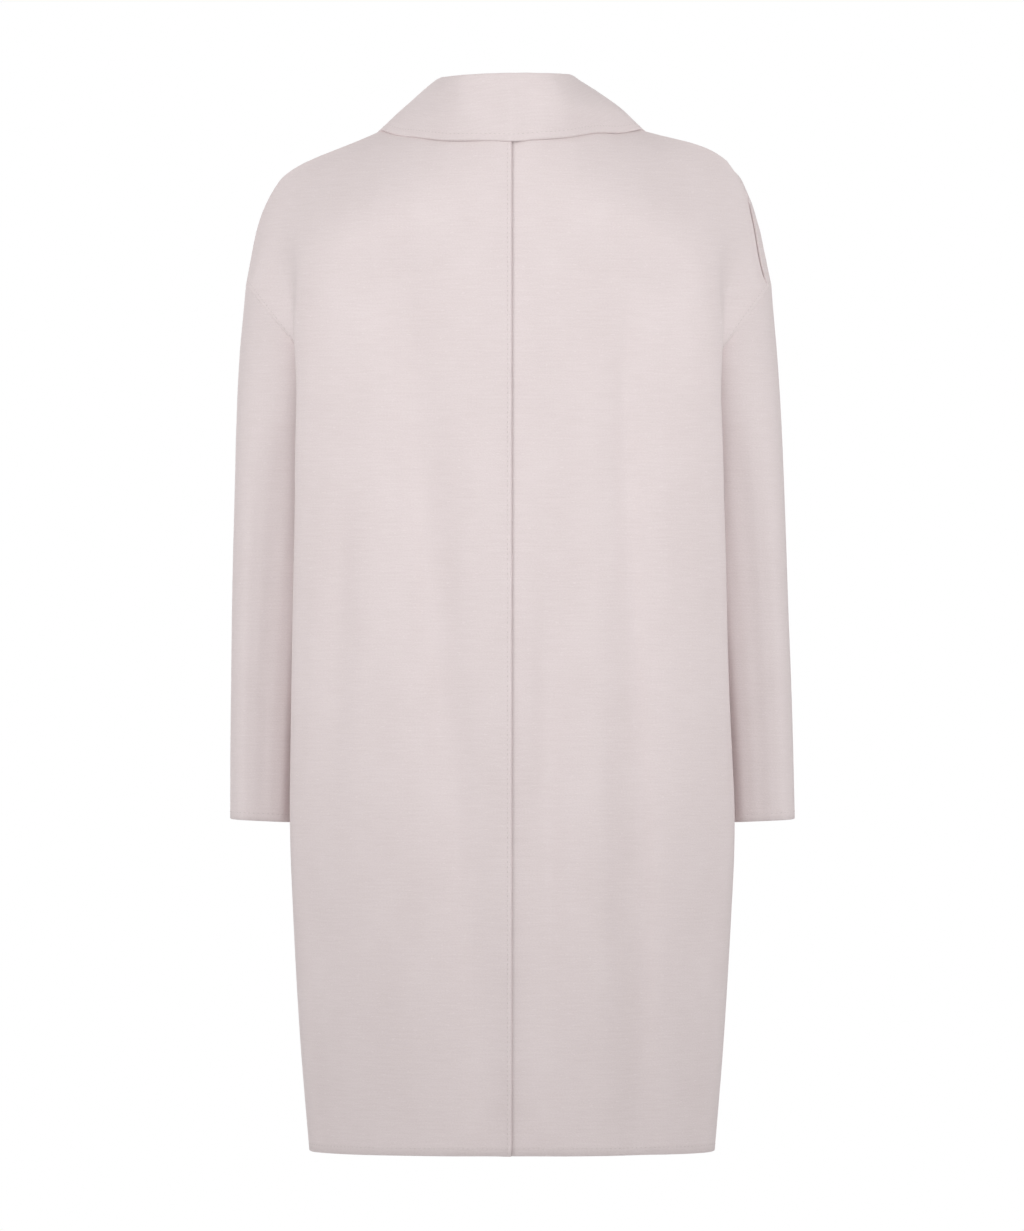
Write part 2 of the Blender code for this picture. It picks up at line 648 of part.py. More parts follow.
def build():
    wool = material_of("wool", WOOL_COLOUR, 0.92)
    horn = material_of("button", BUTTON_COLOUR, 0.42)
    collar_halves = {}
    fronts = {}
    for side in SIDES:
        back, front, sleeve = back_grid(side), front_grid(side), sleeve_grid(side)
        back_n = -grid_normals(back)
        front_n = grid_normals(front)
        sleeve_n = grid_normals(sleeve, ring=True)
        back_n[:, 0] *= (0, 1, 1)
        back_n[:, 0] /= np.linalg.norm(back_n[:, 0], axis=1, keepdims=True)
        share_seam(back_n[0, NECK_SPANS:], front_n[0])
        share_seam(back_n[ARMHOLE_SPANS:, -1], front_n[ARMHOLE_SPANS:, -1])
        half = ARMHOLE_SPANS + 1
        share_seam(back_n[:half, -1], sleeve_n[0, :half])
        share_seam(front_n[:half, -1], sleeve_n[0, ARMHOLE_SPANS:][::-1])
        tip = back_n[0, -1] + front_n[0, -1] + sleeve_n[0, 0] + sleeve_n[0, -1]
        for normals in (back_n[0, -1], front_n[0, -1], sleeve_n[0, 0], sleeve_n[0, -1]):
            normals[:] = tip / np.linalg.norm(tip)
        back = inset(back, ("top", "end"))
        front = inset(front, ("top", "end"))
        sleeve = inset(sleeve, ("top",))
        if side == "left":
            back, back_n = lapped_left_back(back, back_n)
        else:
            back[:, 0, 0] -= LAP_WIDTH * 0.35
        sleeve_n[:, -1] = sleeve_n[:, 0]
        for label, grid, normals, ring in (
            ("back_" + side, back, back_n, False),
            ("front_" + side, front, front_n, False),
            ("sleeve_" + side, sleeve, sleeve_n, True),
        ):
            wall(label, mirrored(grid, side), mirrored(grid - normals * CLOTH, side), wool, ring)
        points, ways = lapel_grid(front, front_n)
        wall("lapel_" + side, mirrored(points, side), mirrored(points - ways * CLOTH, side), wool)
        fronts[side] = (mirrored(front, side), mirrored(front_n, side))
        neck = np.concatenate([neck_seam(), front[1 : COLLAR_FRONT_SPANS + 1, 0]])
        collar_halves[side] = [mirrored(g, side) for g in collar_grid(halved(neck) + (0, 0, SEAM_GAP))]
    pairs = zip(collar_halves["right"], collar_halves["left"])
    collar, collar_n = (np.concatenate([right[::-1], left[1:]]) for right, left in pairs)
    wall("collar", leaned(collar), leaned(collar - collar_n * CLOTH), wool)
    for column_name, x, cloth in (("right", -BUTTON_STANCE, "right"), ("left", BUTTON_STANCE, "right")):
        for number, z in enumerate(BUTTON_LEVELS, 1):
            seat, normal = surface_at(*fronts[cloth], x, z)
            button(f"button_{column_name}_{number}", seat, normal, horn)


clear_scene()
COAT = bpy.data.collections.new("double_breasted_coat")
bpy.context.scene.collection.children.link(COAT)
build()
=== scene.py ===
"""Looks of the double-breasted coat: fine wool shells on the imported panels, seams, stitches and buttons.

Metres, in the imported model's frame: the coat's front faces -Y, the wearer's left is +X, and the
origin is the middle of the neck, level with the shoulders. The panels repeat the pattern tables that
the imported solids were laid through, on a finer grid with the creases and edges of the real cloth.
"""

import math

import bmesh
import bpy
import numpy as np
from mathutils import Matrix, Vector
from mathutils.bvhtree import BVHTree


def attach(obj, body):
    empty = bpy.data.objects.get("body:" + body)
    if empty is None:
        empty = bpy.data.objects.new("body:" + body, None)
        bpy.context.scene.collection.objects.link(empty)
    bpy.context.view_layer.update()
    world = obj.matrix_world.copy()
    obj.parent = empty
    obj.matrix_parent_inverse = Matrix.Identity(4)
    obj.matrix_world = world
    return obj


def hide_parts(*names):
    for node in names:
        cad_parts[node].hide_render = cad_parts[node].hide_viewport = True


# Cloth and seams; two panels fold sharply at a seam where the cosine between them is below SHARP_SEAM
CLOTH = 0.002
SEAM_GAP = 0.0003
REST_GAP = 0.0006
SHARP_SEAM = 0.2

# How many spans each stretch of a pattern edge has
NECK_SPANS = 6
SHOULDER_SPANS = 14
ARMHOLE_SPANS = 10
SIDE_SPANS = 15
SLEEVE_SPANS = 14
BACK_UNDER_SPANS = 6
FRONT_UNDER_SPANS = 5
LAPEL_SPANS = 7
LEAF_SPANS = 6
COLLAR_FRONT_SPANS = 3
SHOULDER_POINTS = 80
MIRRORED_POINTS = 12
LAPEL_TOP = 3.10
BREAK_ROW = 12

# Seam points on the wearer's left; the right ones are mirrored
NAPE = (0.0, 0.078, 0.022)
NECK_POINT = (0.088, 0.000, 0.024)
SHOULDER_TIP = {"left": (0.2545, -0.012, -0.140), "right": (0.2480, -0.012, -0.140)}
UNDERARM = (0.1550, -0.012, -0.262)
ARMHOLE_HALF_DEPTH = 0.074

# Double-breasted front
OVERLAP = 0.090
OVERLAP_LIFT = 0.0062
LIFT_FADE = (0.100, 0.165)
LIFT_BELOW = (0.02, 0.10)
BUTTON_RADIUS = 0.0135
BUTTON_HEIGHT = 0.0046
BUTTON_STANCE = 0.068
BUTTON_LEVELS = (-0.405, -0.535)

# Shoulder seam from the neck to the armhole: the outlines of the two shoulders differ a little
SHOULDER_COLUMNS = ("x_left", "x_right", "y", "z_left", "z_right")
SHOULDER_ROWS = (
    (0.0880, 0.0880, 0.000, 0.0240, 0.0240),
    (0.1220, 0.1220, 0.000, 0.0080, 0.0078),
    (0.1500, 0.1500, -0.002, -0.0040, 0.0006),
    (0.1800, 0.1810, -0.005, -0.0158, -0.0078),
    (0.2040, 0.2035, -0.008, -0.0265, -0.0200),
    (0.2235, 0.2205, -0.010, -0.0425, -0.0415),
    (0.2420, 0.2350, -0.011, -0.0800, -0.0800),
    (0.2545, 0.2480, -0.012, -0.1400, -0.1400),
)

# Back sections. arm is the angle round the armhole where the section ends, from the shoulder tip (0)
# to the underarm (180); below the underarm a section ends on the side seam instead.
BACK_COLUMNS = ("arm", "centre_y", "centre_z", "fold_x", "fold_y", "fold_z", "turn", "arrive")
BACK_ROWS = (
    (45, 0.112, -0.052, 0.2020, 0.072, -0.112, 0.014, 62),
    (90, 0.124, -0.125, 0.2010, 0.084, -0.188, 0.012, 20),
    (135, 0.129, -0.200, 0.2000, 0.086, -0.236, 0.008, 6),
    (180, 0.131, -0.270, 0.2005, 0.084, -0.268, 0.010, 0),
)
BACK_START = (0.0, 0.016, -0.006)
FRONT_START = (0.0, -0.020, -0.006)

# Whole sections below the underarm, at one level each
BODY_COLUMNS = (
    "level", "back_y", "back_fold_x", "back_fold_y", "seam_x", "seam_y",
    "front_fold_x", "front_fold_y", "front_y", "turn",
)
BODY_ROWS = (
    (-0.345, 0.133, 0.2020, 0.080, 0.1635, -0.013, 0.1960, -0.113, -0.147, 0.012),
    (-0.450, 0.136, 0.2050, 0.073, 0.1790, -0.014, 0.1980, -0.113, -0.151, 0.014),
    (-0.560, 0.138, 0.2085, 0.062, 0.1905, -0.015, 0.2030, -0.107, -0.153, 0.018),
    (-0.650, 0.137, 0.2110, 0.052, 0.1975, -0.015, 0.2070, -0.097, -0.153, 0.020),
    (-0.750, 0.134, 0.2075, 0.034, 0.2065, -0.010, 0.2072, -0.062, -0.150, 0.018),
    (-0.870, 0.128, 0.2008, 0.026, 0.2002, -0.006, 0.2006, -0.044, -0.144, 0.014),
    (-0.966, 0.120, 0.1930, 0.022, 0.1925, -0.002, 0.1928, -0.036, -0.137, 0.012),
)
SECTION_FULL = 0.65
SECTION_RISE = 0.48
UNDER_TURN = 0.5
UNDER_ARRIVE = 0.62
EDGE_BLEND = (0.45, 1.0)
FOLD_OUT = {"left": 0.0075, "right": -0.0020}
FOLD_OUT_END = 0.65
NECK_EASE_ROWS = 4

# Front sections above those levels: where each leaves the neck edge or roll line, and its side fold
FRONT_COLUMNS = ("arm", "start_x", "start_y", "start_z", "fold_x", "fold_y", "fold_z", "turn", "arrive")
FRONT_ROWS = (
    (45, 0.0800, -0.0640, -0.0150, 0.1940, -0.0780, -0.1120, 0.010, 120),
    (90, 0.0390, -0.1140, -0.1000, 0.1985, -0.0980, -0.1850, 0.006, 170),
    (135, -0.0040, -0.1370, -0.1900, 0.1985, -0.1060, -0.2360, 0.008, 156),
    (180, -0.0450, -0.1435, -0.2720, 0.1965, -0.1100, -0.2680, 0.010, 178),
)
BREAK_LEVEL = -0.372
BREAK_EASE = 0.12
BREAK_STEP = 0.035

# Sleeve rings, from the armhole to the cuff: outer and inner points, middle and half depth
SLEEVE_COLUMNS = ("outer_left", "outer_right", "outer_z", "inner_x", "inner_z", "middle_y", "half_depth")
SLEEVE_SQUARE = 1.7
SQUARE_REACH = (0.1, 0.5)
SLEEVE_ROWS = (
    (0.2545, 0.2480, -0.140, 0.1550, -0.262, -0.012, 0.074),
    (0.2625, 0.2550, -0.240, 0.1720, -0.343, -0.017, 0.070),
    (0.2655, 0.2600, -0.345, 0.1860, -0.428, -0.022, 0.069),
    (0.2680, 0.2645, -0.452, 0.1955, -0.512, -0.026, 0.068),
    (0.2695, 0.2685, -0.556, 0.2020, -0.586, -0.029, 0.067),
    (0.2700, 0.2710, -0.650, 0.2060, -0.653, -0.031, 0.066),
)

# Collar: the fold at its top and the free edge of its leaf, from the nape (0) to the front end (1)
COLLAR_COLUMNS = ("place", "fold_x", "fold_y", "fold_z", "leaf_x", "leaf_y", "leaf_z")
COLLAR_ROWS = (
    (0.00, 0.0000, 0.0720, 0.0565, 0.0000, 0.1020, -0.0050),
    (0.22, 0.0390, 0.0640, 0.0560, 0.0630, 0.0818, -0.0032),
    (0.44, 0.0570, 0.0300, 0.0550, 0.1045, 0.0310, 0.0022),
    (0.60, 0.0625, -0.0010, 0.0495, 0.1255, 0.0000, 0.0096),
    (0.78, 0.0690, -0.0330, 0.0290, 0.1372, -0.0362, -0.0065),
    (1.00, 0.0745, -0.0825, -0.0215, 0.1462, -0.0800, -0.0510),
)
COLLAR_LEAN = (0.0060, -0.020)
LEAN_LEVELS = (0.027, 0.056)
FOLD_RADIUS = 0.0045
FOLD_SHARE = 0.45
FOLD_END = 0.22
FOLD_SPANS = 4
STAND_SPANS = 3
LEAF_CROWN = 0.002

# Lapel width along its roll line, from the collar (0) to the break (1)
LAPEL_COLUMNS = ("place", "width")
LAPEL_ROWS = (
    (0.00, 0.092),
    (0.20, 0.089),
    (0.45, 0.078),
    (0.75, 0.050),
    (1.00, 0.012),
)
LAPEL_START = 0.004

# Hook of a lapel round the front's edge: shares of the cloth back, in and up, and its upper direction
HOOK_BACK = 0.9
HOOK_IN = 0.3
HOOK_UP = 0.55
HOOK_WAY = (0.6, 0.8)

# Long soft folds of the backs and fronts, as troughs that run from a high to a low point
TROUGH_COLUMNS = ("top_x", "top_z", "low_x", "low_z", "half_width", "depth")
BACK_TROUGHS = (
    (0.104, -0.150, 0.020, -0.960, 0.022, 0.0085),
    (-0.106, -0.140, -0.120, -0.880, 0.017, 0.0085),
    (-0.040, -0.380, -0.022, -0.969, 0.018, 0.0070),
    (0.158, -0.360, 0.176, -0.640, 0.013, 0.0050),
)
FRONT_TROUGHS = (
    (0.150, -0.240, 0.128, -0.940, 0.022, 0.0050),
    (-0.140, -0.260, -0.116, -0.930, 0.024, 0.0055),
    (-0.020, -0.620, -0.044, -0.969, 0.022, 0.0040),
)
TROUGH_ENDS = (-0.2, 1.2)
TROUGH_RISE = (-0.12, 0.30)
TROUGH_FALL = (0.75, 1.2)
TROUGH_LOSS = 0.5
BACK_FOLDS = (0.03, 0.08)
FRONT_FOLDS = (-0.10, -0.05)
SIDES = {"left": 1, "right": -1}

# Finer cloth: fine spans in each span of the pattern, gathers beside seams, and rounded edges
FINER = 5
PUCKER_PITCH = 0.012
PUCKER_DEPTH = 0.00022
PUCKER_REACH = 0.007
PUCKER_DRIFT = (1.9, 23)
CALM_REACH = (0.004, 0.07)
EDGE_ROUND = 0.0007
WELD = 1e-6
TINY = 1e-9

# Slow waves of hanging cloth: each one's share of the depth, its phase for a metre across and along,
# and how far and how fast that phase drifts
WAVE_DEPTH = 0.0010
WAVE_COLUMNS = ("share", "across", "along", "seed", "drift", "drift_across", "drift_along", "drift_seed")
WAVE_ROWS = (
    (0.55, 31, 0, 2.1, 1.7, 0, 5.3, 1.0),
    (0.30, 0, 17, 1.0, 1.3, 11, 0, 1.3),
    (0.25, 73, 9, 0.0, 2.2, 0, 7.1, -1.0),
)
WAVE_SEEDS = {"left": 1.0, "right": 2.6}
FRONT_SEED = 4
SLEEVE_SEED = 8

# Centre-back lap: distances from the centre line, and the share of the full lift at each
LAP_COLUMNS = ("x", "lift")
LAP_ROWS = (
    (0.0008, 0.80),
    (0.0015, 0.90),
    (0.0024, 0.98),
    (0.0034, 1.00),
    (0.0046, 0.96),
    (0.0080, 0.76),
    (0.0150, 0.30),
    (0.0250, 0.00),
)
LAP_EASE = 1.15
LAP_UNDER = -0.0022
LAP_STITCH = 0.0034

# Right armhole and shoulder: how far their edges stand up, along which shares of the seam, and by how
# many fine rows the shoulder seam lies over the back
RAISE_REACH = (0.0028, 0.008)
SEAM_RAISE = 0.0007
RAISED_ARMHOLE = (0.06, 0.24, 0.05)
SHOULDER_OPEN = 0.0014
SHOULDER_SUNK = -0.6
OPEN_SHOULDER = (0.70, 0.93, 0.08)
SEAM_SHIFT = 5.6
SEAM_START = 0.50
SEAM_SPREAD = 36
RIDGE_ROWS = 9
RIDGE_PASSES = 5
RIDGE_SHIFT = 1.5

# Fronts: how the over front settles under the break, and how the lapels round at their roll lines
SETTLE = 0.0026
SETTLE_REACH = (0.004, 0.050)
SETTLE_BELOW = (0.02, 0.10)
ROLL_PUFF = 0.0030
ROLL_START = 0.003
ROLL_MIDDLE = 0.012
ROLL_REACH = 0.018
ROLL_FADES = {"left": (0.12, 0.40), "right": (0.55, 1.0)}

# Collar: how its leaf rests on the body, where the leaf is longer or shorter, and its rounded top corners
LEAF_REST = 0.0004
LEAF_REACH = (0.003, 0.034)
LEAF_PLACES = (0.14, 0.86, 0.06)
LEAF_PASSES = 12
LEAF_LONGER = ((0.32, -0.0068), (0.50, 0.0030), (0.80, 0.0020))
LEAF_LONGER_WIDTH = 0.10
COLLAR_DIPS = ((0.0690, 0.0026), (-0.0580, 0.0024))
COLLAR_DIP_WIDTH = 0.011
COLLAR_DIP_LEVELS = (0.010, 0.050)

# Thread: a stitch is a plump tube, with rings at shares of its length that have shares of its radius
STITCH_LENGTH = 0.0024
STITCH_PITCH = 0.0046
STITCH_RADIUS = 0.00024
STITCH_SIDES = 6
STITCH_RINGS = ((-0.5, 0.15), (-0.38, 0.8), (0.0, 1.0), (0.38, 0.8), (0.5, 0.15))
STITCH_FLAT = 1.15
STITCH_RISE = 0.25
STITCH_DIVE = 0.9
EDGE_INSET = 0.0065
SEAM_INSET = 0.0035

# Buttons and buttonholes: the profile has shares of a button's radius and height, and the levels of the
# front's rows are read at a share of its columns
BUTTON_PROFILE = (
    (0.0, 0.56), (0.30, 0.56), (0.52, 0.58), (0.62, 0.66), (0.70, 0.88), (0.78, 0.98), (0.86, 1.0),
    (0.94, 0.93), (0.99, 0.74), (1.0, 0.56), (0.97, 0.36), (0.88, 0.16), (0.70, 0.02), (0.40, 0.0),
    (0.0, 0.0),
)
BUTTON_DISH = 0.56
BUTTON_TURNS = 48
BUTTON_SHARP = 40
BUTTON_LIFT = 0.0009
HOLE_RADIUS = 0.0011
HOLE_SIDES = 14
HOLE_PITCH = 0.0056
STRANDS = (-1, 0, 1)
STRAND_GAP = 0.62
STRAND_RADIUS = 0.85
STRAND_POINTS = 9
STRAND_LOW = 0.9
STRAND_HIGH = 1.15
STRAND_BEND = 6
STRAND_DIVE = 0.5
TUBE_SIDES = 7
UPRIGHT = 0.9
LEVELS_AT = 0.2
SLIT_HALF = 0.0013
SLIT_RADIUS = 0.0007
SLIT_REACH = (-0.006, 0.0175)
SLIT_POINTS = 5
SLIT_SQUARE = 1.6
SLIT_RISE = 0.3
SLIT_WHIP = (0.82, 1.08)
HOLE_STEPS = 96

# Colours
WOOL_DARK = (0.722, 0.634, 0.630, 1.0)
WOOL_LIGHT = (0.798, 0.714, 0.713, 1.0)
THREAD_DARK = (0.560, 0.490, 0.480, 1.0)
THREAD_LIGHT = (0.700, 0.630, 0.615, 1.0)
BUTTON_DARK = (0.520, 0.430, 0.410, 1.0)
BUTTON_LIGHT = (0.690, 0.605, 0.585, 1.0)
FLOOR_COLOUR = (0.90, 0.90, 0.90, 1.0)
WHITE = (1.0, 1.0, 1.0, 1.0)

# Noise in the materials: repeats per metre across and along, detail and roughness
WOOL_NOISE = {
    "slub": (38.0, 520.0, 3.0, 0.55),
    "cloud": (14.0, 9.0, 4.0, 0.55),
    "weave": (620.0, 760.0, 2.0, 0.55),
    "nap": (2100.0, 1700.0, 3.0, 0.7),
    "fleck": (190.0, 560.0, 1.0, 0.55),
}
THREAD_TWIST = (2600.0, 2600.0, 2.0, 0.55)
BUTTON_STREAK = (320.0, 70.0, 4.0, 0.55)
BUTTON_GRAIN = (900.0, 900.0, 3.0, 0.55)

# How much each noise adds to the wool's tone and relief, the ranges of value used, and the finishes
WOOL_TONES = {"slub": 0.30, "cloud": 0.30, "weave": 0.40, "fleck": 0.28}
WOOL_HEIGHTS = {"weave": 0.6, "nap": 0.4, "slub": 0.35}
FLECK_RANGE = {"From Min": 0.67, "From Max": 0.76}
WOOL_ROUGH = {"To Min": 0.86, "To Max": 0.97}
BUTTON_ROUGH = {"To Min": 0.28, "To Max": 0.44}
WOOL_RAMP = (0.34, 0.66)
THREAD_RAMP = (0.3, 0.7)
BUTTON_RAMP = (0.32, 0.70)
WOOL_BUMP = {"Strength": 0.35, "Distance": 0.0006}
WOOL_FINISH = {
    "Specular IOR Level": 0.18,
    "Sheen Weight": 0.22,
    "Sheen Roughness": 0.45,
    "Sheen Tint": (1.0, 0.95, 0.93, 1.0),
}
THREAD_FINISH = {"Roughness": 0.6, "Sheen Weight": 0.1}
BUTTON_FINISH = {"Specular IOR Level": 0.5}
FLOOR_FINISH = {"Base Color": FLOOR_COLOUR, "Roughness": 0.9}

# The photograph's frame: its height in pixels, the coat's metres per pixel, and the row of the origin
FRAME_HEIGHT = 1231
METRES_PER_PIXEL = 0.00095
ORIGIN_ROW = 135
CAMERA_DISTANCE = 9.0
FOCUS_PLANE = 0.05
SENSOR = 36.0

# Studio: floor, light from all round, and soft lights by place, target, size, watts and spread in degrees
FLOOR_LEVEL = -1.28
FLOOR_RADIUS = 2.4
FLOOR_SIDES = 96
AMBIENT = {"From Min": -1.0, "To Min": 0.035, "To Max": 0.60}
LIGHTS = (
    ("key", (0.0, 2.6, 0.14), (0.0, 0.0, -0.14), (1.8, 1.2), 1.6, 52),
    ("left_fill", (2.3, 1.6, 0.29), (0.1, 0.0, -0.17), (1.4, 1.6), 4.6, 57),
    ("right_fill", (-2.3, 1.6, 0.29), (-0.1, 0.0, -0.17), (1.4, 1.6), 4.6, 57),
    ("front_soft", (0.5, -2.9, 0.7), (0.0, 0.0, -0.25), (1.8, 1.6), 12.0, 90),
)


def column(rows, names, name):
    """One named column of a table."""
    return np.array([row[names.index(name)] for row in rows], float)


def named(rows, names):
    """A table's rows, each with its values by column name."""
    return [dict(zip(names, row)) for row in rows]


def through(knots, values, at, start_slope=None):
    """A smooth curve through values at knots, read at some places: cubic pieces with chordal slopes."""
    knots = np.asarray(knots, float)
    values = np.asarray(values, float)
    at = np.asarray(at, float)
    shape = (-1,) + (1,) * (values.ndim - 1)
    spans = np.diff(knots).reshape(shape)
    chords = np.diff(values, axis=0) / spans
    slopes = np.concatenate([chords[:1], chords, chords[-1:]])
    slopes = (slopes[:-1] + slopes[1:]) / 2
    if start_slope is not None:
        slopes[0] = start_slope
    index = np.clip(np.searchsorted(knots, at, side="right") - 1, 0, len(knots) - 2)
    t = ((at - knots[index]) / np.diff(knots)[index]).reshape(shape)
    low, high = values[index], values[index + 1]
    step = spans[index]
    return (
        low * (2 * t**3 - 3 * t**2 + 1)
        + slopes[index] * step * (t**3 - 2 * t**2 + t)
        + high * (3 * t**2 - 2 * t**3)
        + slopes[index + 1] * step * (t**3 - t**2)
    )


def bezier(points, count=24):
    """Points along a cubic curve with four control points."""
    t = np.linspace(0, 1, count)[:, None]
    a, b, c, d = (np.asarray(p, float) for p in points)
    return a * (1 - t) ** 3 + 3 * b * t * (1 - t) ** 2 + 3 * c * t**2 * (1 - t) + d * t**3


def unit(vectors):
    """Vectors scaled to a length of 1."""
    return vectors / np.maximum(np.linalg.norm(vectors, axis=-1, keepdims=True), TINY)


def run(points):
    """Distances along a line of points, from its first one."""
    return np.concatenate([[0], np.cumsum(np.linalg.norm(np.diff(points, axis=0), axis=1))])


def read_at(at, along, values):
    """Points or directions known along a line, read at other places along it."""
    return np.stack([np.interp(at, along, values[:, k]) for k in range(3)], axis=-1)


def bell(distance, reach):
    """A soft hump: 1 at no distance, and almost nothing at twice the reach."""
    return np.exp(-((distance / reach) ** 2))


def smooth(line, passes):
    """Draws the inner points of a line towards their neighbours, a number of times."""
    for _ in range(passes):
        line[1:-1] = (line[:-2] + 2 * line[1:-1] + line[2:]) / 4


def circle(count):
    """Points round a circle with a radius of 1."""
    angles = np.arange(count) * 2 * math.pi / count
    return np.stack([np.cos(angles), np.sin(angles)], axis=1)


def spaced(points, places):
    """Points at shares of a line's own length."""
    along = run(points)
    return read_at(np.asarray(places) * along[-1], along, points)


def smooth_step(x, low, high):
    """A soft step from 0 to 1 between two values."""
    t = np.clip((x - low) / (high - low), 0, 1)
    return t * t * (3 - 2 * t)


def armhole_point(side, angle_deg, front=False):
    """A point of the armhole seam, from the shoulder tip (0) round to the underarm (180)."""
    tip, low = np.array(SHOULDER_TIP[side]), np.array(UNDERARM)
    angle = math.radians(angle_deg)
    depth = -ARMHOLE_HALF_DEPTH if front else ARMHOLE_HALF_DEPTH
    across = np.array((0.0, depth, 0.0))
    return (tip + low) / 2 + (tip - low) / 2 * math.cos(angle) + across * math.sin(angle)


def shoulder_seam(side):
    """Points of one shoulder seam, evenly spaced from the neck point to the shoulder tip."""
    names = ("x_" + side, "y", "z_" + side)
    points = np.stack([column(SHOULDER_ROWS, SHOULDER_COLUMNS, name) for name in names], axis=1)
    fine = through(np.arange(len(points)), points, np.linspace(0, len(points) - 1, SHOULDER_POINTS))
    return spaced(fine, np.linspace(0, 1, SHOULDER_SPANS + 1))


def neck_seam():
    """The back neck edge from the nape to the neck point, a quarter of an oval."""
    nape, side = np.array(NAPE), np.array(NECK_POINT)
    angles = np.linspace(0, math.pi / 2, NECK_SPANS + 1)[:, None]
    level = nape * (0, 0, 1) * (1 - np.sin(angles))
    return side * np.sin(angles) + nape * (1, 1, 0) * np.cos(angles) + level


def heading(degrees):
    """A direction in plan, from -Y round to +X."""
    return np.array((math.sin(math.radians(degrees)), -math.cos(math.radians(degrees)), 0.0))


def section(centre, fold, turn, edge, arrive):
    """A cubic curve from a centre line to the side fold, and one from the fold to a seam."""
    centre, fold, edge = (np.asarray(p, float) for p in (centre, fold, edge))
    reach = (fold - centre) * (SECTION_FULL, 0.0, 0.0)
    rise = (centre - fold) * (0.0, SECTION_RISE, 0.0)
    broad = bezier((centre, centre + reach, fold + rise, fold))
    gap = np.linalg.norm(edge - fold)
    first = np.array((0.0, math.copysign(min(turn, gap * UNDER_TURN), edge[1] - fold[1]), 0.0))
    under = bezier((fold, fold + first, edge - heading(arrive) * gap * UNDER_ARRIVE, edge))
    return broad, under


def laid(broad, under, spans, under_spans):
    """Points along both curves of a section, with the fold always at the same one."""
    first = spaced(broad, np.linspace(0, 1, spans - under_spans + 1))
    return np.concatenate([first, spaced(under, np.linspace(0, 1, under_spans + 1))[1:]])


def past_centre(line, start_x):
    """Carries a section over the centre front, as a mirror of its own first stretch."""
    if start_x >= 0:
        return line
    count = np.searchsorted(line[:MIRRORED_POINTS, 0], -start_x)
    tip = read_at(-start_x, line[:, 0], line)
    other = np.concatenate([line[1:count], tip[None]])[::-1]
    return np.concatenate([other * (-1, 1, 1), line])


def seam_rows():
    """The row numbers of the tables' sections, on the panels' common count of rows."""
    arm = column(BACK_ROWS, BACK_COLUMNS, "arm") / 180 * ARMHOLE_SPANS
    level = column(BODY_ROWS, BODY_COLUMNS, "level")
    low, high = UNDERARM[2], level[-1]
    side = ARMHOLE_SPANS + (level - low) / (high - low) * SIDE_SPANS
    return np.concatenate([[0], arm, side])


def outer_edge(side, front):
    """A panel's seam: round the armhole from its tip to the underarm, then down the side to the hem."""
    angles = np.linspace(0, 180, ARMHOLE_SPANS + 1)
    arm = np.array([armhole_point(side, a, front) for a in angles])
    names = BODY_COLUMNS
    lower = np.stack([column(BODY_ROWS, names, name) for name in ("seam_x", "seam_y", "level")], axis=1)
    knots = seam_rows()[len(BACK_ROWS) :]
    rows = ARMHOLE_SPANS + np.arange(1, SIDE_SPANS + 1)
    return np.concatenate([arm, through(knots, np.vstack([UNDERARM, lower]), rows)])


def finish_edges(grid, top, edge):
    """Ends a panel exactly on its outer seam and its top seam."""
    weight = smooth_step(np.linspace(0, 1, grid.shape[1]), *EDGE_BLEND)[None, :, None]
    grid += (edge - grid[:, -1])[:, None, :] * weight
    grid[0] = top


def trough_depth(points, side_sign, troughs):
    """How far the soft folds push the cloth inwards at each point."""
    x, z = points[..., 0] * side_sign, points[..., 2]
    depth = np.zeros(x.shape)
    for row in named(troughs, TROUGH_COLUMNS):
        share = np.clip((z - row["top_z"]) / (row["low_z"] - row["top_z"]), *TROUGH_ENDS)
        middle = row["top_x"] + (row["low_x"] - row["top_x"]) * share
        fade = smooth_step(share, *TROUGH_RISE) * (1 - TROUGH_LOSS * smooth_step(share, *TROUGH_FALL))
        depth += row["depth"] * fade * bell(x - middle, row["half_width"])
    return depth


def side_fold(side, x, y, z):
    """A point of the back's side fold: the two folds hang a little unevenly above the hips."""
    return x + FOLD_OUT[side] * max(0.0, 1 + z / FOLD_OUT_END), y, z


def back_grid(side):
    """Back panel: columns from the centre back to the armhole and side seam, rows from neck to hem."""
    spans = NECK_SPANS + SHOULDER_SPANS
    top = np.concatenate([neck_seam(), shoulder_seam(side)[1:]])
    rows = [top]
    for row in named(BACK_ROWS, BACK_COLUMNS):
        centre = (0, row["centre_y"], row["centre_z"])
        fold = side_fold(side, row["fold_x"], row["fold_y"], row["fold_z"])
        curves = section(centre, fold, row["turn"], armhole_point(side, row["arm"]), row["arrive"])
        rows.append(laid(*curves, spans, BACK_UNDER_SPANS))
    for row in named(BODY_ROWS, BODY_COLUMNS):
        level = row["level"]
        fold = side_fold(side, row["back_fold_x"], row["back_fold_y"], level)
        edge = (row["seam_x"], row["seam_y"], level)
        curves = section((0, row["back_y"], level), fold, row["turn"], edge, 0)
        rows.append(laid(*curves, spans, BACK_UNDER_SPANS))
    grid = through(seam_rows(), np.array(rows), np.arange(ARMHOLE_SPANS + SIDE_SPANS + 1), BACK_START)
    finish_edges(grid, top, outer_edge(side, front=False))
    ease_neck(grid)
    inward = trough_depth(grid, SIDES[side], BACK_TROUGHS)
    grid[..., 1] -= inward * smooth_step(grid[..., 1], *BACK_FOLDS)
    return grid


def ease_neck(grid):
    """Spreads the bend below the neck point over the columns beside it."""
    for row in range(1, NECK_EASE_ROWS + 1):
        smooth(grid[row, 1:-3], NECK_EASE_ROWS + 1 - row)


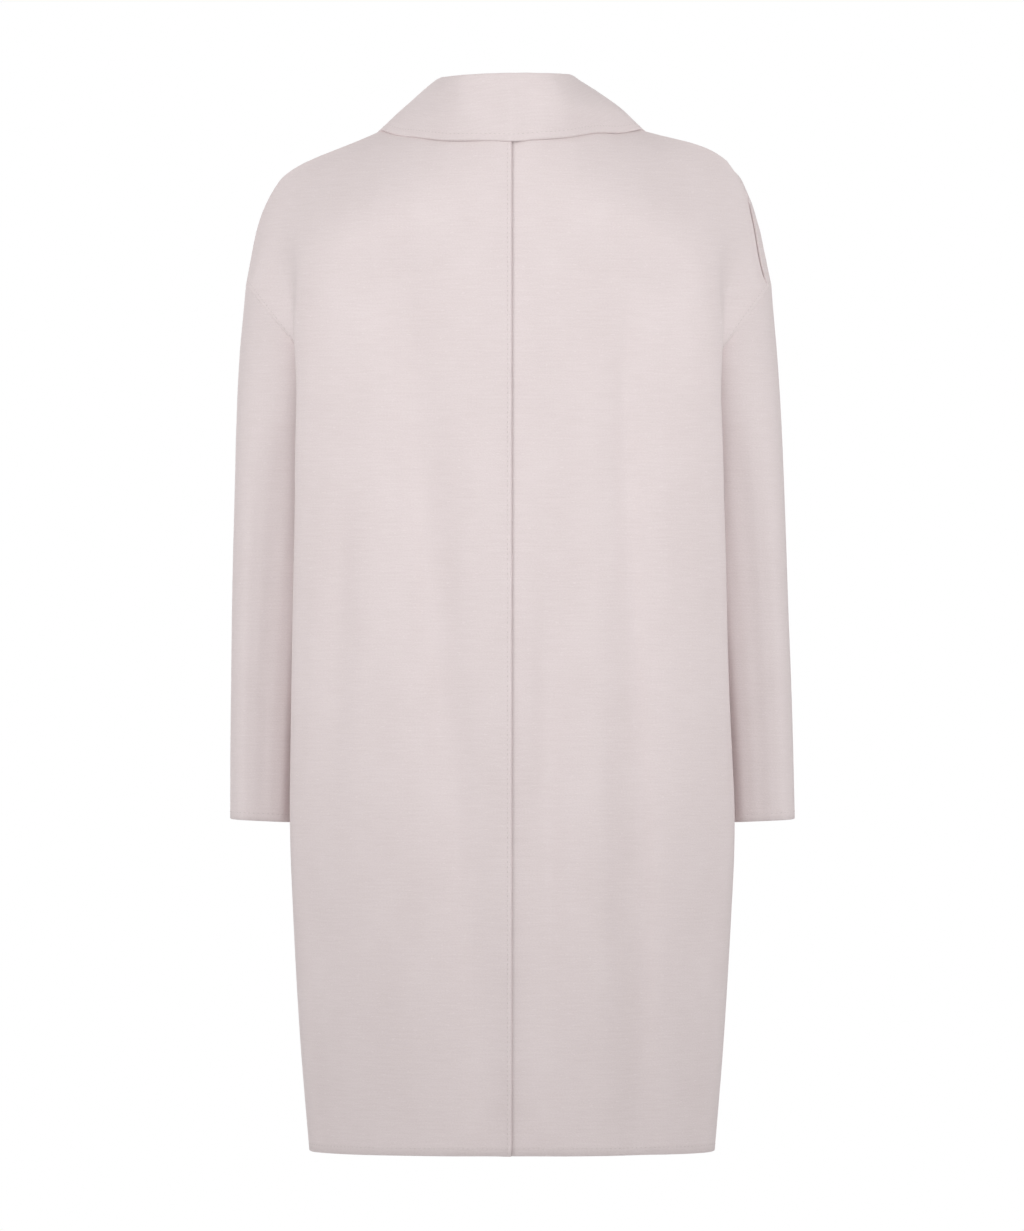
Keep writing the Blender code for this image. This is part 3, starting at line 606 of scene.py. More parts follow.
def front_grid(side):
    """Front panel: columns from the front edge or roll line to the armhole and side seam."""
    top = shoulder_seam(side)
    rows = [top]
    for row in named(FRONT_ROWS, FRONT_COLUMNS):
        centre = (max(row["start_x"], 0), row["start_y"], row["start_z"])
        fold = (row["fold_x"], row["fold_y"], row["fold_z"])
        edge = armhole_point(side, row["arm"], front=True)
        broad, under = section(centre, fold, row["turn"], edge, row["arrive"])
        rows.append(laid(past_centre(broad, row["start_x"]), under, SHOULDER_SPANS, FRONT_UNDER_SPANS))
    for row in named(BODY_ROWS, BODY_COLUMNS):
        level = row["level"]
        roll = smooth_step(level, BREAK_LEVEL, BREAK_LEVEL + BREAK_EASE)
        fold = (row["front_fold_x"], row["front_fold_y"], level)
        edge = (row["seam_x"], row["seam_y"], level)
        broad, under = section((0, row["front_y"], level), fold, row["turn"], edge, 180)
        broad = past_centre(broad, BREAK_STEP * roll - OVERLAP)
        rows.append(laid(broad, under, SHOULDER_SPANS, FRONT_UNDER_SPANS))
    grid = through(seam_rows(), np.array(rows), np.arange(ARMHOLE_SPANS + SIDE_SPANS + 1), FRONT_START)
    finish_edges(grid, top, outer_edge(side, front=True))
    inward = trough_depth(grid, SIDES[side], FRONT_TROUGHS)
    grid[..., 1] += inward * (1 - smooth_step(grid[..., 1], *FRONT_FOLDS))
    if side == "right":
        over = 1 - smooth_step(grid[..., 0], *LIFT_FADE)
        below = smooth_step(-grid[..., 2], *LIFT_BELOW)
        grid[..., 1] -= OVERLAP_LIFT * over * below
    return grid


def sleeve_grid(side):
    """Sleeve: rings from the armhole to the cuff, each from the shoulder tip round the back."""
    names, rows = SLEEVE_COLUMNS, SLEEVE_ROWS
    at = np.linspace(0, len(rows) - 1, SLEEVE_SPANS + 1)

    def read(name):
        return through(np.arange(len(rows)), column(rows, names, name), at)

    outer_x, outer_z = read("outer_" + side), read("outer_z")
    inner_x, inner_z = read("inner_x"), read("inner_z")
    middle_y, half_depth = read("middle_y"), read("half_depth")
    angles = np.linspace(0, 2 * math.pi, 2 * ARMHOLE_SPANS + 1)[None, :]
    power = 2 + SLEEVE_SQUARE * smooth_step(at / at[-1], *SQUARE_REACH)[:, None]
    away = (np.abs(np.cos(angles)) ** power + np.abs(np.sin(angles)) ** power) ** (-1 / power)

    def ring(outer, inner):
        middle, half = (outer + inner) / 2, (outer - inner) / 2
        return middle[:, None] + half[:, None] * np.cos(angles) * away

    y = middle_y[:, None] + half_depth[:, None] * np.sin(angles) * away
    return np.stack([ring(outer_x, inner_x), y, ring(outer_z, inner_z)], axis=2)


def grid_normals(grid, ring=False):
    """Outward unit directions at a grid's points, from the points on either side."""
    down = np.gradient(grid, axis=0)
    if ring:
        around = np.concatenate([grid[:, -2:-1], grid, grid[:, 1:2]], axis=1)
        across = (around[:, 2:] - around[:, :-2]) / 2
    else:
        across = np.gradient(grid, axis=1)
    return unit(np.cross(down, across))


def share_seam(first, second):
    """Gives two panels one direction along a seam, where they don't fold sharply there."""
    together = (first * second).sum(axis=-1, keepdims=True) > SHARP_SEAM
    middle = unit(first + second)
    first[...] = np.where(together, middle, first)
    second[...] = np.where(together, middle, second)


def inset(grid, edges):
    """Draws named edges of a grid in by half the seam gap."""
    steps = {"top": (0, 1, 0), "low": (-1, -2, 0), "start": (0, 1, 1), "end": (-1, -2, 1)}
    moved = grid.copy()
    for name in edges:
        edge, inner, axis = steps[name]
        target = moved[edge] if axis == 0 else moved[:, edge]
        target += unit(np.take(grid, inner, axis) - np.take(grid, edge, axis)) * (SEAM_GAP / 2)
    return moved


def mirrored(grid, side):
    """Points or directions of the wearer's left, carried to a side."""
    return grid * np.array((SIDES[side], 1, 1))


def lapel_grid(front, front_normals):
    """Lapel: from its roll line, hooked round the front's edge, out over the front's own points."""
    rows = np.array([LAPEL_TOP, *range(math.ceil(LAPEL_TOP), BREAK_ROW + 1)])
    names = LAPEL_COLUMNS
    place = (rows - LAPEL_TOP) / (BREAK_ROW - LAPEL_TOP)
    widths = through(column(LAPEL_ROWS, names, "place"), column(LAPEL_ROWS, names, "width"), place)
    lift = CLOTH + REST_GAP
    points, ways = [], []
    for row, width in zip(rows, widths):
        low = min(int(row), front.shape[0] - 2)
        parts = (front, front_normals)
        line, normal = (part[low] + (part[low + 1] - part[low]) * (row - low) for part in parts)
        along = run(line)
        at = np.linspace(LAPEL_START, width, LAPEL_SPANS + 1)
        up = unit(read_at(at, along, normal))
        inward = unit(line[1] - line[0])
        side_on = line[0] - inward * (SEAM_GAP + CLOTH)
        under = side_on - normal[0] * CLOTH * HOOK_BACK
        upper = side_on + inward * CLOTH * HOOK_IN + normal[0] * lift * HOOK_UP
        points.append(np.concatenate([[under, upper], read_at(at, along, line) + up * lift]))
        ways.append(np.concatenate([[-inward, normal[0] * HOOK_WAY[0] - inward * HOOK_WAY[1]], up]))
    return np.array(points), unit(np.array(ways))


def collar_section(base, fold, leaf):
    """From the neck seam up the stand, over the fold and down the leaf, seen from its upper face."""
    base, fold, leaf = (np.asarray(p, float) for p in (base, fold, leaf))
    height = np.linalg.norm(fold - base)
    up = unit(fold - base)
    fall = leaf - fold
    out = unit(fall - up * (fall @ up))
    radius = min(FOLD_RADIUS, height * FOLD_SHARE)
    middle = fold - up * radius + out * radius
    turn = np.linspace(math.pi, math.pi * FOLD_END, FOLD_SPANS + 1)[:, None]
    over = middle + out * np.cos(turn) * radius + up * np.sin(turn) * radius
    stand = base + (over[0] - base) * np.linspace(0, 1, STAND_SPANS + 1)[:-1, None]
    share = np.linspace(0, 1, LEAF_SPANS + 1)[1:, None]
    down = over[-1] + (leaf - over[-1]) * share
    face = unit(np.cross(np.cross(out, up), leaf - over[-1]))
    if face @ (up + out) < 0:
        face = -face
    down += face * LEAF_CROWN * np.sin(share * math.pi)
    points = np.concatenate([stand, over, down])
    return points, unit(-np.cross(np.gradient(points, axis=0), np.cross(out, up)))


def halved(line):
    """A line with a point added in the middle of each span."""
    return read_at(np.arange(0, len(line) - 0.75, 0.5), np.arange(len(line)), line)


def collar_grid(bases):
    """Collar: one section at each neck seam point of one side, from the nape to the front end."""
    along = run(bases)
    knots = column(COLLAR_ROWS, COLLAR_COLUMNS, "place")
    table = np.array([row[1:] for row in COLLAR_ROWS])
    read = through(knots, table, along / along[-1])
    made = [collar_section(base, row[:3], row[3:]) for base, row in zip(bases, read)]
    return (np.array(part) for part in zip(*made))


def leaned(points):
    """The collar's top, set a little askew towards the wearer's left, above the neck seam."""
    share = smooth_step(points[..., 2], *LEAN_LEVELS)
    shift = np.zeros(points.shape)
    shift[..., 0] = COLLAR_LEAN[0] * share
    shift[..., 2] = COLLAR_LEAN[1] * points[..., 0] * share
    return points + shift


def finer(grid, ring=False):
    """The same surface on a finer grid, with smooth curves through its rows and columns."""
    rows = np.linspace(0, grid.shape[0] - 1, (grid.shape[0] - 1) * FINER + 1)
    grid = through(np.arange(grid.shape[0]), grid, rows)
    count = grid.shape[1]
    columns = np.linspace(0, count - 1, (count - 1) * FINER + 1)
    if not ring:
        return through(np.arange(count), grid.swapaxes(0, 1), columns).swapaxes(0, 1)
    wide = np.concatenate([grid[:, -4:-1], grid, grid[:, 1:4]], axis=1)
    return through(np.arange(-3, count + 3), wide.swapaxes(0, 1), columns).swapaxes(0, 1)


def lengths(grid, axis):
    """Distance along each row (axis 1) or column (axis 0) of a grid, from its first point."""
    steps = np.linalg.norm(np.diff(grid, axis=axis), axis=2)
    start = np.zeros_like(np.take(steps, [0], axis))
    return np.concatenate([start, np.cumsum(steps, axis=axis)], axis=axis)


def soft_wave(across, along, seed):
    """A slow, uneven rise and fall of hanging cloth, in metres."""
    total = np.zeros(across.shape)
    for wave in named(WAVE_ROWS, WAVE_COLUMNS):
        drift = across * wave["drift_across"] + along * wave["drift_along"] + seed * wave["drift_seed"]
        phase = across * wave["across"] + along * wave["along"] + seed * wave["seed"]
        total += wave["share"] * np.sin(phase + wave["drift"] * np.sin(drift))
    return WAVE_DEPTH * total


def pucker(along, distance):
    """Small gathers of the cloth beside a line of sewing."""
    reach, pace = PUCKER_DRIFT
    ripple = np.sin(along * 2 * math.pi / PUCKER_PITCH + reach * np.sin(along * pace))
    return PUCKER_DEPTH * ripple * bell(distance, PUCKER_REACH)


def hanging(grid):
    """Places on hung cloth, in metres: round the body, and down from the shoulders."""
    return np.stack([lengths(grid * (1, 1, 0), 1), -grid[..., 2]], axis=2)


def lying(grid):
    """Places on a turned-over piece, in metres: along its length, and across it."""
    return np.stack([lengths(grid, 0), lengths(grid, 1)], axis=2)


def placed(name, data):
    """A new object in the scene."""
    obj = bpy.data.objects.new(name, data)
    bpy.context.scene.collection.objects.link(obj)
    return obj


def mesh_of(name, bm):
    """A new mesh with what was built in bm."""
    mesh = bpy.data.meshes.new(name)
    bm.to_mesh(mesh)
    bm.free()
    return mesh


def finish_shell(mesh, creases, ring):
    """Turns a shell's faces outwards, joins a ring's ends, and shades it smooth with creases along lines."""
    bm = bmesh.new()
    bm.from_mesh(mesh)
    bm.verts.ensure_lookup_table()
    for line in creases:
        for a, b in zip(line, line[1:]):
            bm.edges.get((bm.verts[a], bm.verts[b])).smooth = False
    if ring:
        bmesh.ops.remove_doubles(bm, verts=bm.verts, dist=WELD)
    bmesh.ops.recalc_face_normals(bm, faces=bm.faces)
    bm.to_mesh(mesh)
    bm.free()
    mesh.shade_smooth()


def cloth_mesh(name, outer, inner, outwards, places, sewn=(), ring=False):
    """A closed shell between two fine grids: rounded free edges, crisp sewn ones, cloth places as UVs."""
    count = outer.shape[0] * outer.shape[1]
    index = np.arange(count).reshape(outer.shape[:2])
    corners = (index[:-1, :-1], index[:-1, 1:], index[1:, 1:], index[1:, :-1])
    quads = np.stack(corners, axis=2).reshape(-1, 4)
    points = [outer.reshape(-1, 3), inner.reshape(-1, 3)]
    uvs = [places.reshape(-1, 2)] * 2
    faces = [quads, quads[:, ::-1] + count]
    loops = [index[0], index[-1][::-1]]
    if not ring:
        loops = [np.concatenate([index[0], index[1:, -1], index[-1, -2::-1], index[-2::-1, 0]])]
    made = 2 * count
    for loop in loops:
        first, last = loop[:-1], loop[1:]
        middle = (points[0][first] + points[1][first]) / 2
        points.append(middle + outwards.reshape(-1, 3)[first] * EDGE_ROUND)
        uvs.append(uvs[0][first])
        ids = made + np.arange(len(first))
        after = np.roll(ids, -1)
        faces.append(np.stack([last, first, ids, after], axis=1))
        faces.append(np.stack([after, ids, first + count, last + count], axis=1))
        made += len(first)
    faces = np.concatenate(faces)
    mesh = bpy.data.meshes.new(name)
    mesh.from_pydata(np.concatenate(points).tolist(), [], faces.tolist())
    layer = mesh.uv_layers.new(name="cloth")
    layer.data.foreach_set("uv", np.concatenate(uvs)[faces.ravel()].astype(np.float32).ravel())
    borders = {"top": index[0], "low": index[-1], "start": index[:, 0], "end": index[:, -1]}
    finish_shell(mesh, [borders[edge] for edge in sewn], ring)
    return mesh


def edge_ways(grid, ring=False):
    """Unit directions out of a grid at its borders, along the cloth."""
    ways = np.zeros_like(grid)
    ways[0] += grid[0] - grid[1]
    ways[-1] += grid[-1] - grid[-2]
    if not ring:
        ways[:, 0] += grid[:, 0] - grid[:, 1]
        ways[:, -1] += grid[:, -1] - grid[:, -2]
    return unit(ways)


def from_edge(grid, edge):
    """Distance of each point from a named edge, along its row or column."""
    axis = 0 if edge in ("top", "low") else 1
    reach = lengths(grid, axis)
    if edge in ("low", "end"):
        reach = np.take(reach, [-1], axis) - reach
    return reach


def add_piece(name, mesh, material, nodes=()):
    """Adds a mesh to the scene as a piece of the coat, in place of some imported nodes."""
    obj = placed(name, mesh)
    mesh.materials.append(material)
    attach(obj, "root")
    if nodes:
        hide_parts(*nodes)


def shell(kind, side, grid, normals, places, sewn=(), ring=False):
    """One cut piece of cloth as a closed shell, mirrored to its own side."""
    node = f"{kind}_{side}"
    ways = mirrored(edge_ways(grid, ring), side)
    outer, inner = mirrored(grid, side), mirrored(grid - normals * CLOTH, side)
    mesh = cloth_mesh("coat_" + node, outer, inner, ways, places(grid), sewn, ring)
    add_piece("coat_" + node, mesh, WOOL, (node,))


def drape(grid, normals, seed, still, puckered=()):
    """Moves a panel's points along their directions: slow waves of the cloth, and gathers beside seams."""
    across, along = lengths(grid, 1), lengths(grid, 0)
    calm = np.ones(grid.shape[:2])
    for edge in still:
        calm *= smooth_step(from_edge(grid, edge), *CALM_REACH)
    move = soft_wave(across, along, seed) * calm
    for edge in puckered:
        place = along if edge in ("start", "end") else across
        move += pucker(place, from_edge(grid, edge))
    return grid + normals * move[..., None]


def raise_edge(grid, normals, edge, amount):
    """Lifts one edge of a panel by an amount for each place along it, with a short ramp."""
    lift = 1 - smooth_step(from_edge(grid, edge), *RAISE_REACH)
    lift *= amount[None, :] if edge in ("top", "low") else amount[:, None]
    grid += normals * lift[..., None]


def window(count, start, end, ramp):
    """Weights over a run of places: 1 between two shares of it, with soft ramps outside them."""
    share = np.linspace(0, 1, count)
    return smooth_step(share, start - ramp, start) * (1 - smooth_step(share, end, end + ramp))


def move_seam(first, second, rows):
    """Moves the top seam of two panels over the first one, by a number of rows in each column."""
    count = len(first)
    places = np.arange(count)
    ease = np.clip(1 - places / SEAM_SPREAD, 0, 1)
    near = slice(count - 1 - RIDGE_ROWS, count + RIDGE_ROWS)
    bump = bell(np.arange(-RIDGE_ROWS, RIDGE_ROWS + 1), RIDGE_ROWS / 2)[:, None]
    for j, shift in enumerate(rows):
        line = np.concatenate([first[::-1, j], second[1:, j]])
        at = np.arange(len(line))
        ridge = line[near.start - 1 : near.stop + 1].copy()
        smooth(ridge, RIDGE_PASSES)
        rounded = ridge[1:-1] + (line[count - 1] - ridge[RIDGE_ROWS + 1]) * bump
        line[near] += (rounded - line[near]) * min(1.0, shift / RIDGE_SHIFT)
        seam = count - 1 - shift * ease
        first[:, j] = read_at(seam - places, at, line)
        second[:, j] = read_at(seam + places, at, line)


def settle(grid, normals):
    """Lets the free edge of the over front sink towards the front below it, under the break."""
    near = 1 - smooth_step(from_edge(grid, "start"), *SETTLE_REACH)
    low = smooth_step(BREAK_LEVEL - grid[..., 2], *SETTLE_BELOW)
    return grid - normals * (SETTLE * near * low)[..., None]


def rolled(grid, normals, fade):
    """Rounds a lapel where it turns over, less and less between two shares of its length."""
    across = lengths(grid, 1)
    share = np.linspace(0, 1, len(grid))[:, None]
    puff = bell(across - ROLL_MIDDLE, ROLL_REACH) * (1 - smooth_step(share, *fade))
    return grid + normals * (ROLL_PUFF * puff * smooth_step(across, ROLL_START, ROLL_MIDDLE))[..., None]


def lap_over(grid, normals):
    """The left back's centre edge carried over the right back: a low strip that eases into the panel."""
    xs, lift = (column(LAP_ROWS, LAP_COLUMNS, name) for name in LAP_COLUMNS)
    keep = int(np.argmax(grid[:, :, 0].min(axis=0) > xs[-1] * LAP_EASE))
    strip, ways = (
        np.array([read_at(xs, line[: keep + 1, 0], row[: keep + 1]) for line, row in zip(grid, part)])
        for part in (grid, normals)
    )
    strip[..., 0] = xs
    strip += ways * (lift * (CLOTH + REST_GAP))[None, :, None]
    return np.concatenate([strip, grid[:, keep:]], axis=1), np.concatenate([ways, normals[:, keep:]], axis=1)


def line_inside(grid, normals, edge, distance):
    """A line on the cloth at one distance inside an edge, with the cloth's directions along it."""
    if edge in ("start", "end"):
        grid, normals = grid.swapaxes(0, 1), normals.swapaxes(0, 1)
    if edge in ("low", "end"):
        grid, normals = grid[::-1], normals[::-1]
    reach = lengths(grid, 0)
    return (
        np.array([read_at(distance, reach[:, c], part[:, c]) for c in range(grid.shape[1])])
        for part in (grid, normals)
    )


def stitch_points(line, ways):
    """Points of the stitches along a line on the cloth, by stitch, ring and place round the ring."""
    along = run(line)
    middles = np.arange(STITCH_PITCH, along[-1] - STITCH_PITCH / 2, STITCH_PITCH)
    behind, ahead = (read_at(middles + end * STITCH_LENGTH / 2, along, line) for end in (-1, 1))
    way = unit(ahead - behind)
    side = unit(np.cross(way, read_at(middles, along, ways)))
    up = np.cross(side, way)
    at, size = np.array(STITCH_RINGS).T[:, :, None]
    sink = STITCH_RADIUS * (STITCH_RISE - STITCH_DIVE * (2 * at) ** 2)
    centres = read_at(middles, along, line)[:, None] + way[:, None] * at * STITCH_LENGTH + up[:, None] * sink
    x, y = circle(STITCH_SIDES).T[:, :, None]
    rings = (side[:, None] * x * STITCH_FLAT + up[:, None] * y) * STITCH_RADIUS
    return centres[:, :, None] + rings[:, None] * size[:, None]


def stitches(name, lines):
    """Pick stitches along lines on the cloth: one mesh of small plump threads."""
    points = np.concatenate([stitch_points(*line) for line in lines])
    index = np.arange(points[..., 0].size).reshape(points.shape[:3])
    after = np.roll(index, -1, axis=2)
    corners = (index[:, :-1], after[:, :-1], after[:, 1:], index[:, 1:])
    quads = np.stack(corners, axis=-1).reshape(-1, 4)
    caps = np.concatenate([index[:, 0, ::-1], index[:, -1]])
    mesh = bpy.data.meshes.new(name)
    mesh.from_pydata(points.reshape(-1, 3).tolist(), [], quads.tolist() + caps.tolist())
    mesh.shade_smooth()
    add_piece(name, mesh, THREAD)


def nodes_of(name):
    """A new material, its node tree and its Principled shader."""
    material = bpy.data.materials.new(name)
    material.use_nodes = True
    tree = material.node_tree
    return material, tree, tree.nodes["Principled BSDF"]


def fill(tree, node, values):
    """Sets inputs of a node by name, each to a value or by a link from a socket."""
    for name, value in values.items():
        if isinstance(value, bpy.types.NodeSocket):
            tree.links.new(value, node.inputs[name])
        else:
            node.inputs[name].default_value = value


def added(tree, kind, values=()):
    """A new shader node of a kind, with some inputs set."""
    node = tree.nodes.new("ShaderNode" + kind)
    fill(tree, node, dict(values))
    return node


def noise(tree, vector, across, along, detail, rough):
    """A noise texture, stretched across and along."""
    place = added(tree, "Mapping", {"Scale": (across, along, 1.0), "Vector": vector})
    values = {"Scale": 1.0, "Detail": detail, "Roughness": rough, "Vector": place.outputs["Vector"]}
    return added(tree, "TexNoise", values).outputs["Fac"]


def ranged(tree, value, limits):
    """A value carried from one range of numbers to another."""
    return added(tree, "MapRange", {**limits, "Value": value}).outputs["Result"]


def weighed(tree, parts, weights):
    """The sum of some parts, each with its weight."""
    total = 0.0
    for name, weight in weights.items():
        node = tree.nodes.new("ShaderNodeMath")
        node.operation = "MULTIPLY_ADD"
        fill(tree, node, {0: parts[name], 1: weight, 2: total})
        total = node.outputs[0]
    return total


def ramp(tree, value, ends, dark, light):
    """A colour that goes from dark to light as a value goes from one end to the other."""
    node = added(tree, "ValToRGB", {"Fac": value})
    for stop, end, colour in zip(node.color_ramp.elements, ends, (dark, light)):
        stop.position = end
        stop.color = colour
    return node.outputs["Color"]


def wool_material():
    """Milled double-faced wool: a short nap over a fine cross weave, with faint slubs and a soft sheen."""
    material, tree, shader = nodes_of("wool")
    uv = added(tree, "UVMap")
    uv.uv_map = "cloth"
    parts = {name: noise(tree, uv.outputs["UV"], *values) for name, values in WOOL_NOISE.items()}
    parts["fleck"] = ranged(tree, parts["fleck"], FLECK_RANGE)
    tone = weighed(tree, parts, WOOL_TONES)
    bump = added(tree, "Bump", {**WOOL_BUMP, "Height": weighed(tree, parts, WOOL_HEIGHTS)})
    looks = {
        "Base Color": ramp(tree, tone, WOOL_RAMP, WOOL_DARK, WOOL_LIGHT),
        "Normal": bump.outputs["Normal"],
        "Roughness": ranged(tree, parts["nap"], WOOL_ROUGH),
    }
    fill(tree, shader, {**WOOL_FINISH, **looks})
    return material


def thread_material():
    """Matching sewing thread: its plies show as a fine mottle."""
    material, tree, shader = nodes_of("thread")
    twist = noise(tree, added(tree, "TexCoord").outputs["Object"], *THREAD_TWIST)
    colour = ramp(tree, twist, THREAD_RAMP, THREAD_DARK, THREAD_LIGHT)
    fill(tree, shader, {**THREAD_FINISH, "Base Color": colour})
    return material


def button_material():
    """Dyed horn-like resin with soft streaks and a satin polish."""
    material, tree, shader = nodes_of("button")
    at = added(tree, "TexCoord").outputs["Object"]
    looks = {
        "Base Color": ramp(tree, noise(tree, at, *BUTTON_STREAK), BUTTON_RAMP, BUTTON_DARK, BUTTON_LIGHT),
        "Roughness": ranged(tree, noise(tree, at, *BUTTON_GRAIN), BUTTON_ROUGH),
    }
    fill(tree, shader, {**BUTTON_FINISH, **looks})
    return material


def button_blank(name):
    """A button turned from its profile, without holes."""
    bm = bmesh.new()
    rings = []
    for share, level in BUTTON_PROFILE:
        around = (circle(BUTTON_TURNS) if share else np.zeros((1, 2))) * share * BUTTON_RADIUS
        rings.append([bm.verts.new((x, y, level * BUTTON_HEIGHT)) for x, y in around])
    for upper, lower in zip(rings, rings[1:]):
        for j in range(-1, BUTTON_TURNS - 1):
            ends = [(ring[0],) if len(ring) == 1 else (ring[j], ring[j + 1]) for ring in (upper, lower)]
            bm.faces.new((*ends[0], *ends[1][::-1]))
    bmesh.ops.recalc_face_normals(bm, faces=bm.faces)
    return mesh_of(name, bm)


def button_drill(name):
    """Four rods that cut a button's holes."""
    bm = bmesh.new()
    size = {"radius1": HOLE_RADIUS, "radius2": HOLE_RADIUS, "depth": BUTTON_HEIGHT * 3}
    for x in (-HOLE_PITCH / 2, HOLE_PITCH / 2):
        for y in (-HOLE_PITCH / 2, HOLE_PITCH / 2):
            rod = bmesh.ops.create_cone(bm, cap_ends=True, segments=HOLE_SIDES, **size)["verts"]
            bmesh.ops.translate(bm, verts=rod, vec=(x, y, BUTTON_HEIGHT / 2))
    return mesh_of(name + "_drill", bm)


def turned_button(name, seat, normal, node):
    """A four-hole button, turned with a raised rim and pierced. Returns where it was put."""
    body, cutter = placed(name + "_blank", button_blank(name)), placed(name + "_drill", button_drill(name))
    cut = body.modifiers.new("holes", "BOOLEAN")
    cut.object = cutter
    cut.solver = "EXACT"
    pierced = bpy.data.meshes.new_from_object(body.evaluated_get(bpy.context.evaluated_depsgraph_get()))
    bpy.data.objects.remove(body)
    bpy.data.objects.remove(cutter)
    pierced.name = name
    pierced.shade_smooth()
    pierced.set_sharp_from_angle(angle=math.radians(BUTTON_SHARP))
    turn = Vector((0, 0, 1)).rotation_difference(Vector(normal)).to_matrix().to_4x4()
    turn.translation = Vector(seat) + Vector(normal) * BUTTON_LIFT
    pierced.transform(turn)
    add_piece(name, pierced, BUTTON, (node,))
    return turn


def button_thread(name, turn):
    """Thread through a button's holes: two crossed bars of three strands each."""
    bm = bmesh.new()
    for direction in (1, -1):
        top = BUTTON_DISH * BUTTON_HEIGHT + STITCH_RADIUS * (STRAND_LOW if direction < 0 else STRAND_HIGH)
        for strand in STRANDS:
            aside = np.array((-direction, 1.0)) * strand * STITCH_RADIUS * STRAND_GAP
            line = []
            for t in np.linspace(-1, 1, STRAND_POINTS):
                along = np.array((t, direction * t)) * HOLE_PITCH / 2
                dive = abs(t) ** STRAND_BEND * BUTTON_HEIGHT * STRAND_DIVE
                line.append(Vector((*(along + aside), top - dive)))
            tube(bm, line, STITCH_RADIUS * STRAND_RADIUS)
    mesh = mesh_of(name, bm)
    mesh.transform(turn)
    mesh.shade_smooth()
    add_piece(name, mesh, THREAD)


def tube(bm, line, radius, closed=False):
    """A round thread along a line of points, capped at its ends or closed into a loop."""
    rings = []
    for i, point in enumerate(line):
        before = line[i - 1] if closed or i else line[i]
        after = line[(i + 1) % len(line)] if closed or i < len(line) - 1 else line[i]
        way = (after - before).normalized()
        side = way.cross(Vector((0, 0, 1)) if abs(way.z) < UPRIGHT else Vector((1, 0, 0))).normalized()
        up = side.cross(way)
        size = radius(i) if callable(radius) else radius
        rings.append([bm.verts.new(point + (side * x + up * y) * size) for x, y in circle(TUBE_SIDES)])
    pairs = list(zip(rings, rings[1:]))
    if closed:
        pairs.append((rings[-1], rings[0]))
    else:
        bm.faces.new(rings[0][::-1])
        bm.faces.new(rings[-1])
    for first, second in pairs:
        for j in range(-1, TUBE_SIDES - 1):
            bm.faces.new((first[j], first[j + 1], second[j + 1], second[j]))
    bmesh.ops.recalc_face_normals(bm, faces=bm.faces)


def buttonhole(name, points, normals):
    """A worked buttonhole: dense whipped stitches round a slit, laid along points on the cloth."""
    start, middle, end = (Vector(points[i]) for i in (0, len(points) // 2, -1))
    normal = Vector(normals[len(normals) // 2]).normalized()
    side = normal.cross((end - start).normalized()).normalized()
    line = []
    for x, y in circle(HOLE_STEPS):
        share = (max(-1.0, min(1.0, SLIT_SQUARE * x)) + 1) / 2
        base = start.lerp(middle, share * 2) if share < 0.5 else middle.lerp(end, share * 2 - 1)
        line.append(base + side * y * SLIT_HALF + normal * SLIT_RADIUS * SLIT_RISE)
    bm = bmesh.new()
    tube(bm, line, lambda i: SLIT_RADIUS * SLIT_WHIP[i % 2], closed=True)
    mesh = mesh_of(name, bm)
    mesh.shade_smooth()
    add_piece(name, mesh, THREAD)


def fine_panels(side):
    """The side's back, front and sleeve on fine grids, with their directions joined along the seams."""
    back, front = finer(back_grid(side)), finer(front_grid(side))
    sleeve = finer(sleeve_grid(side), ring=True)
    back_n, front_n = -grid_normals(back), grid_normals(front)
    sleeve_n = grid_normals(sleeve, ring=True)
    back_n[:, 0] = unit(back_n[:, 0] * (0, 1, 1))
    arm, neck = ARMHOLE_SPANS * FINER, NECK_SPANS * FINER
    share_seam(back_n[0, neck:], front_n[0])
    share_seam(back_n[arm:, -1], front_n[arm:, -1])
    share_seam(back_n[: arm + 1, -1], sleeve_n[0, : arm + 1])
    share_seam(front_n[: arm + 1, -1], sleeve_n[0, arm:][::-1])
    sleeve_n[:, -1] = sleeve_n[:, 0]
    if side == "right":
        share = np.linspace(0, 1, front.shape[1])
        rows = SEAM_SHIFT * np.clip((share - SEAM_START) / (1 - SEAM_START), 0, 1)
        move_seam(back[:, neck:], front, rows)
        move_seam(back_n[:, neck:], front_n, rows)
        back_n, front_n = unit(back_n), unit(front_n)
    return (back, back_n), (front, front_n), (sleeve, sleeve_n)


def hung_panels(side):
    """The side's back, front and sleeve as they hang, cut to their seams."""
    seed = WAVE_SEEDS[side]
    (back, back_n), (front, front_n), (sleeve, sleeve_n) = fine_panels(side)
    back = drape(back, back_n, seed, ("top", "end", "start"), ("start", "end"))
    front = drape(front, front_n, seed + FRONT_SEED, ("top", "end", "start"), ("end",))
    sleeve = drape(sleeve, sleeve_n, seed + SLEEVE_SEED, ("top",))
    sleeve[:, -1] = sleeve[:, 0]
    if side == "right":
        raise_edge(back, back_n, "end", SEAM_RAISE * window(len(back), *RAISED_ARMHOLE))
        front = settle(front, front_n)
        along = SHOULDER_OPEN * window(front.shape[1], *OPEN_SHOULDER)
        raise_edge(front, front_n, "top", along)
        sunk = np.concatenate([np.zeros(NECK_SPANS * FINER), SHOULDER_SUNK * along])
        raise_edge(back, back_n, "top", sunk)
    back = inset(back, ("top", "end"))
    front = inset(front, ("top", "end"))
    sleeve = inset(sleeve, ("top",))
    if side == "left":
        back, back_n = lap_over(back, back_n)
    else:
        back[:, 0, 0] = LAP_UNDER
    return (back, back_n), (front, front_n), (sleeve, sleeve_n)


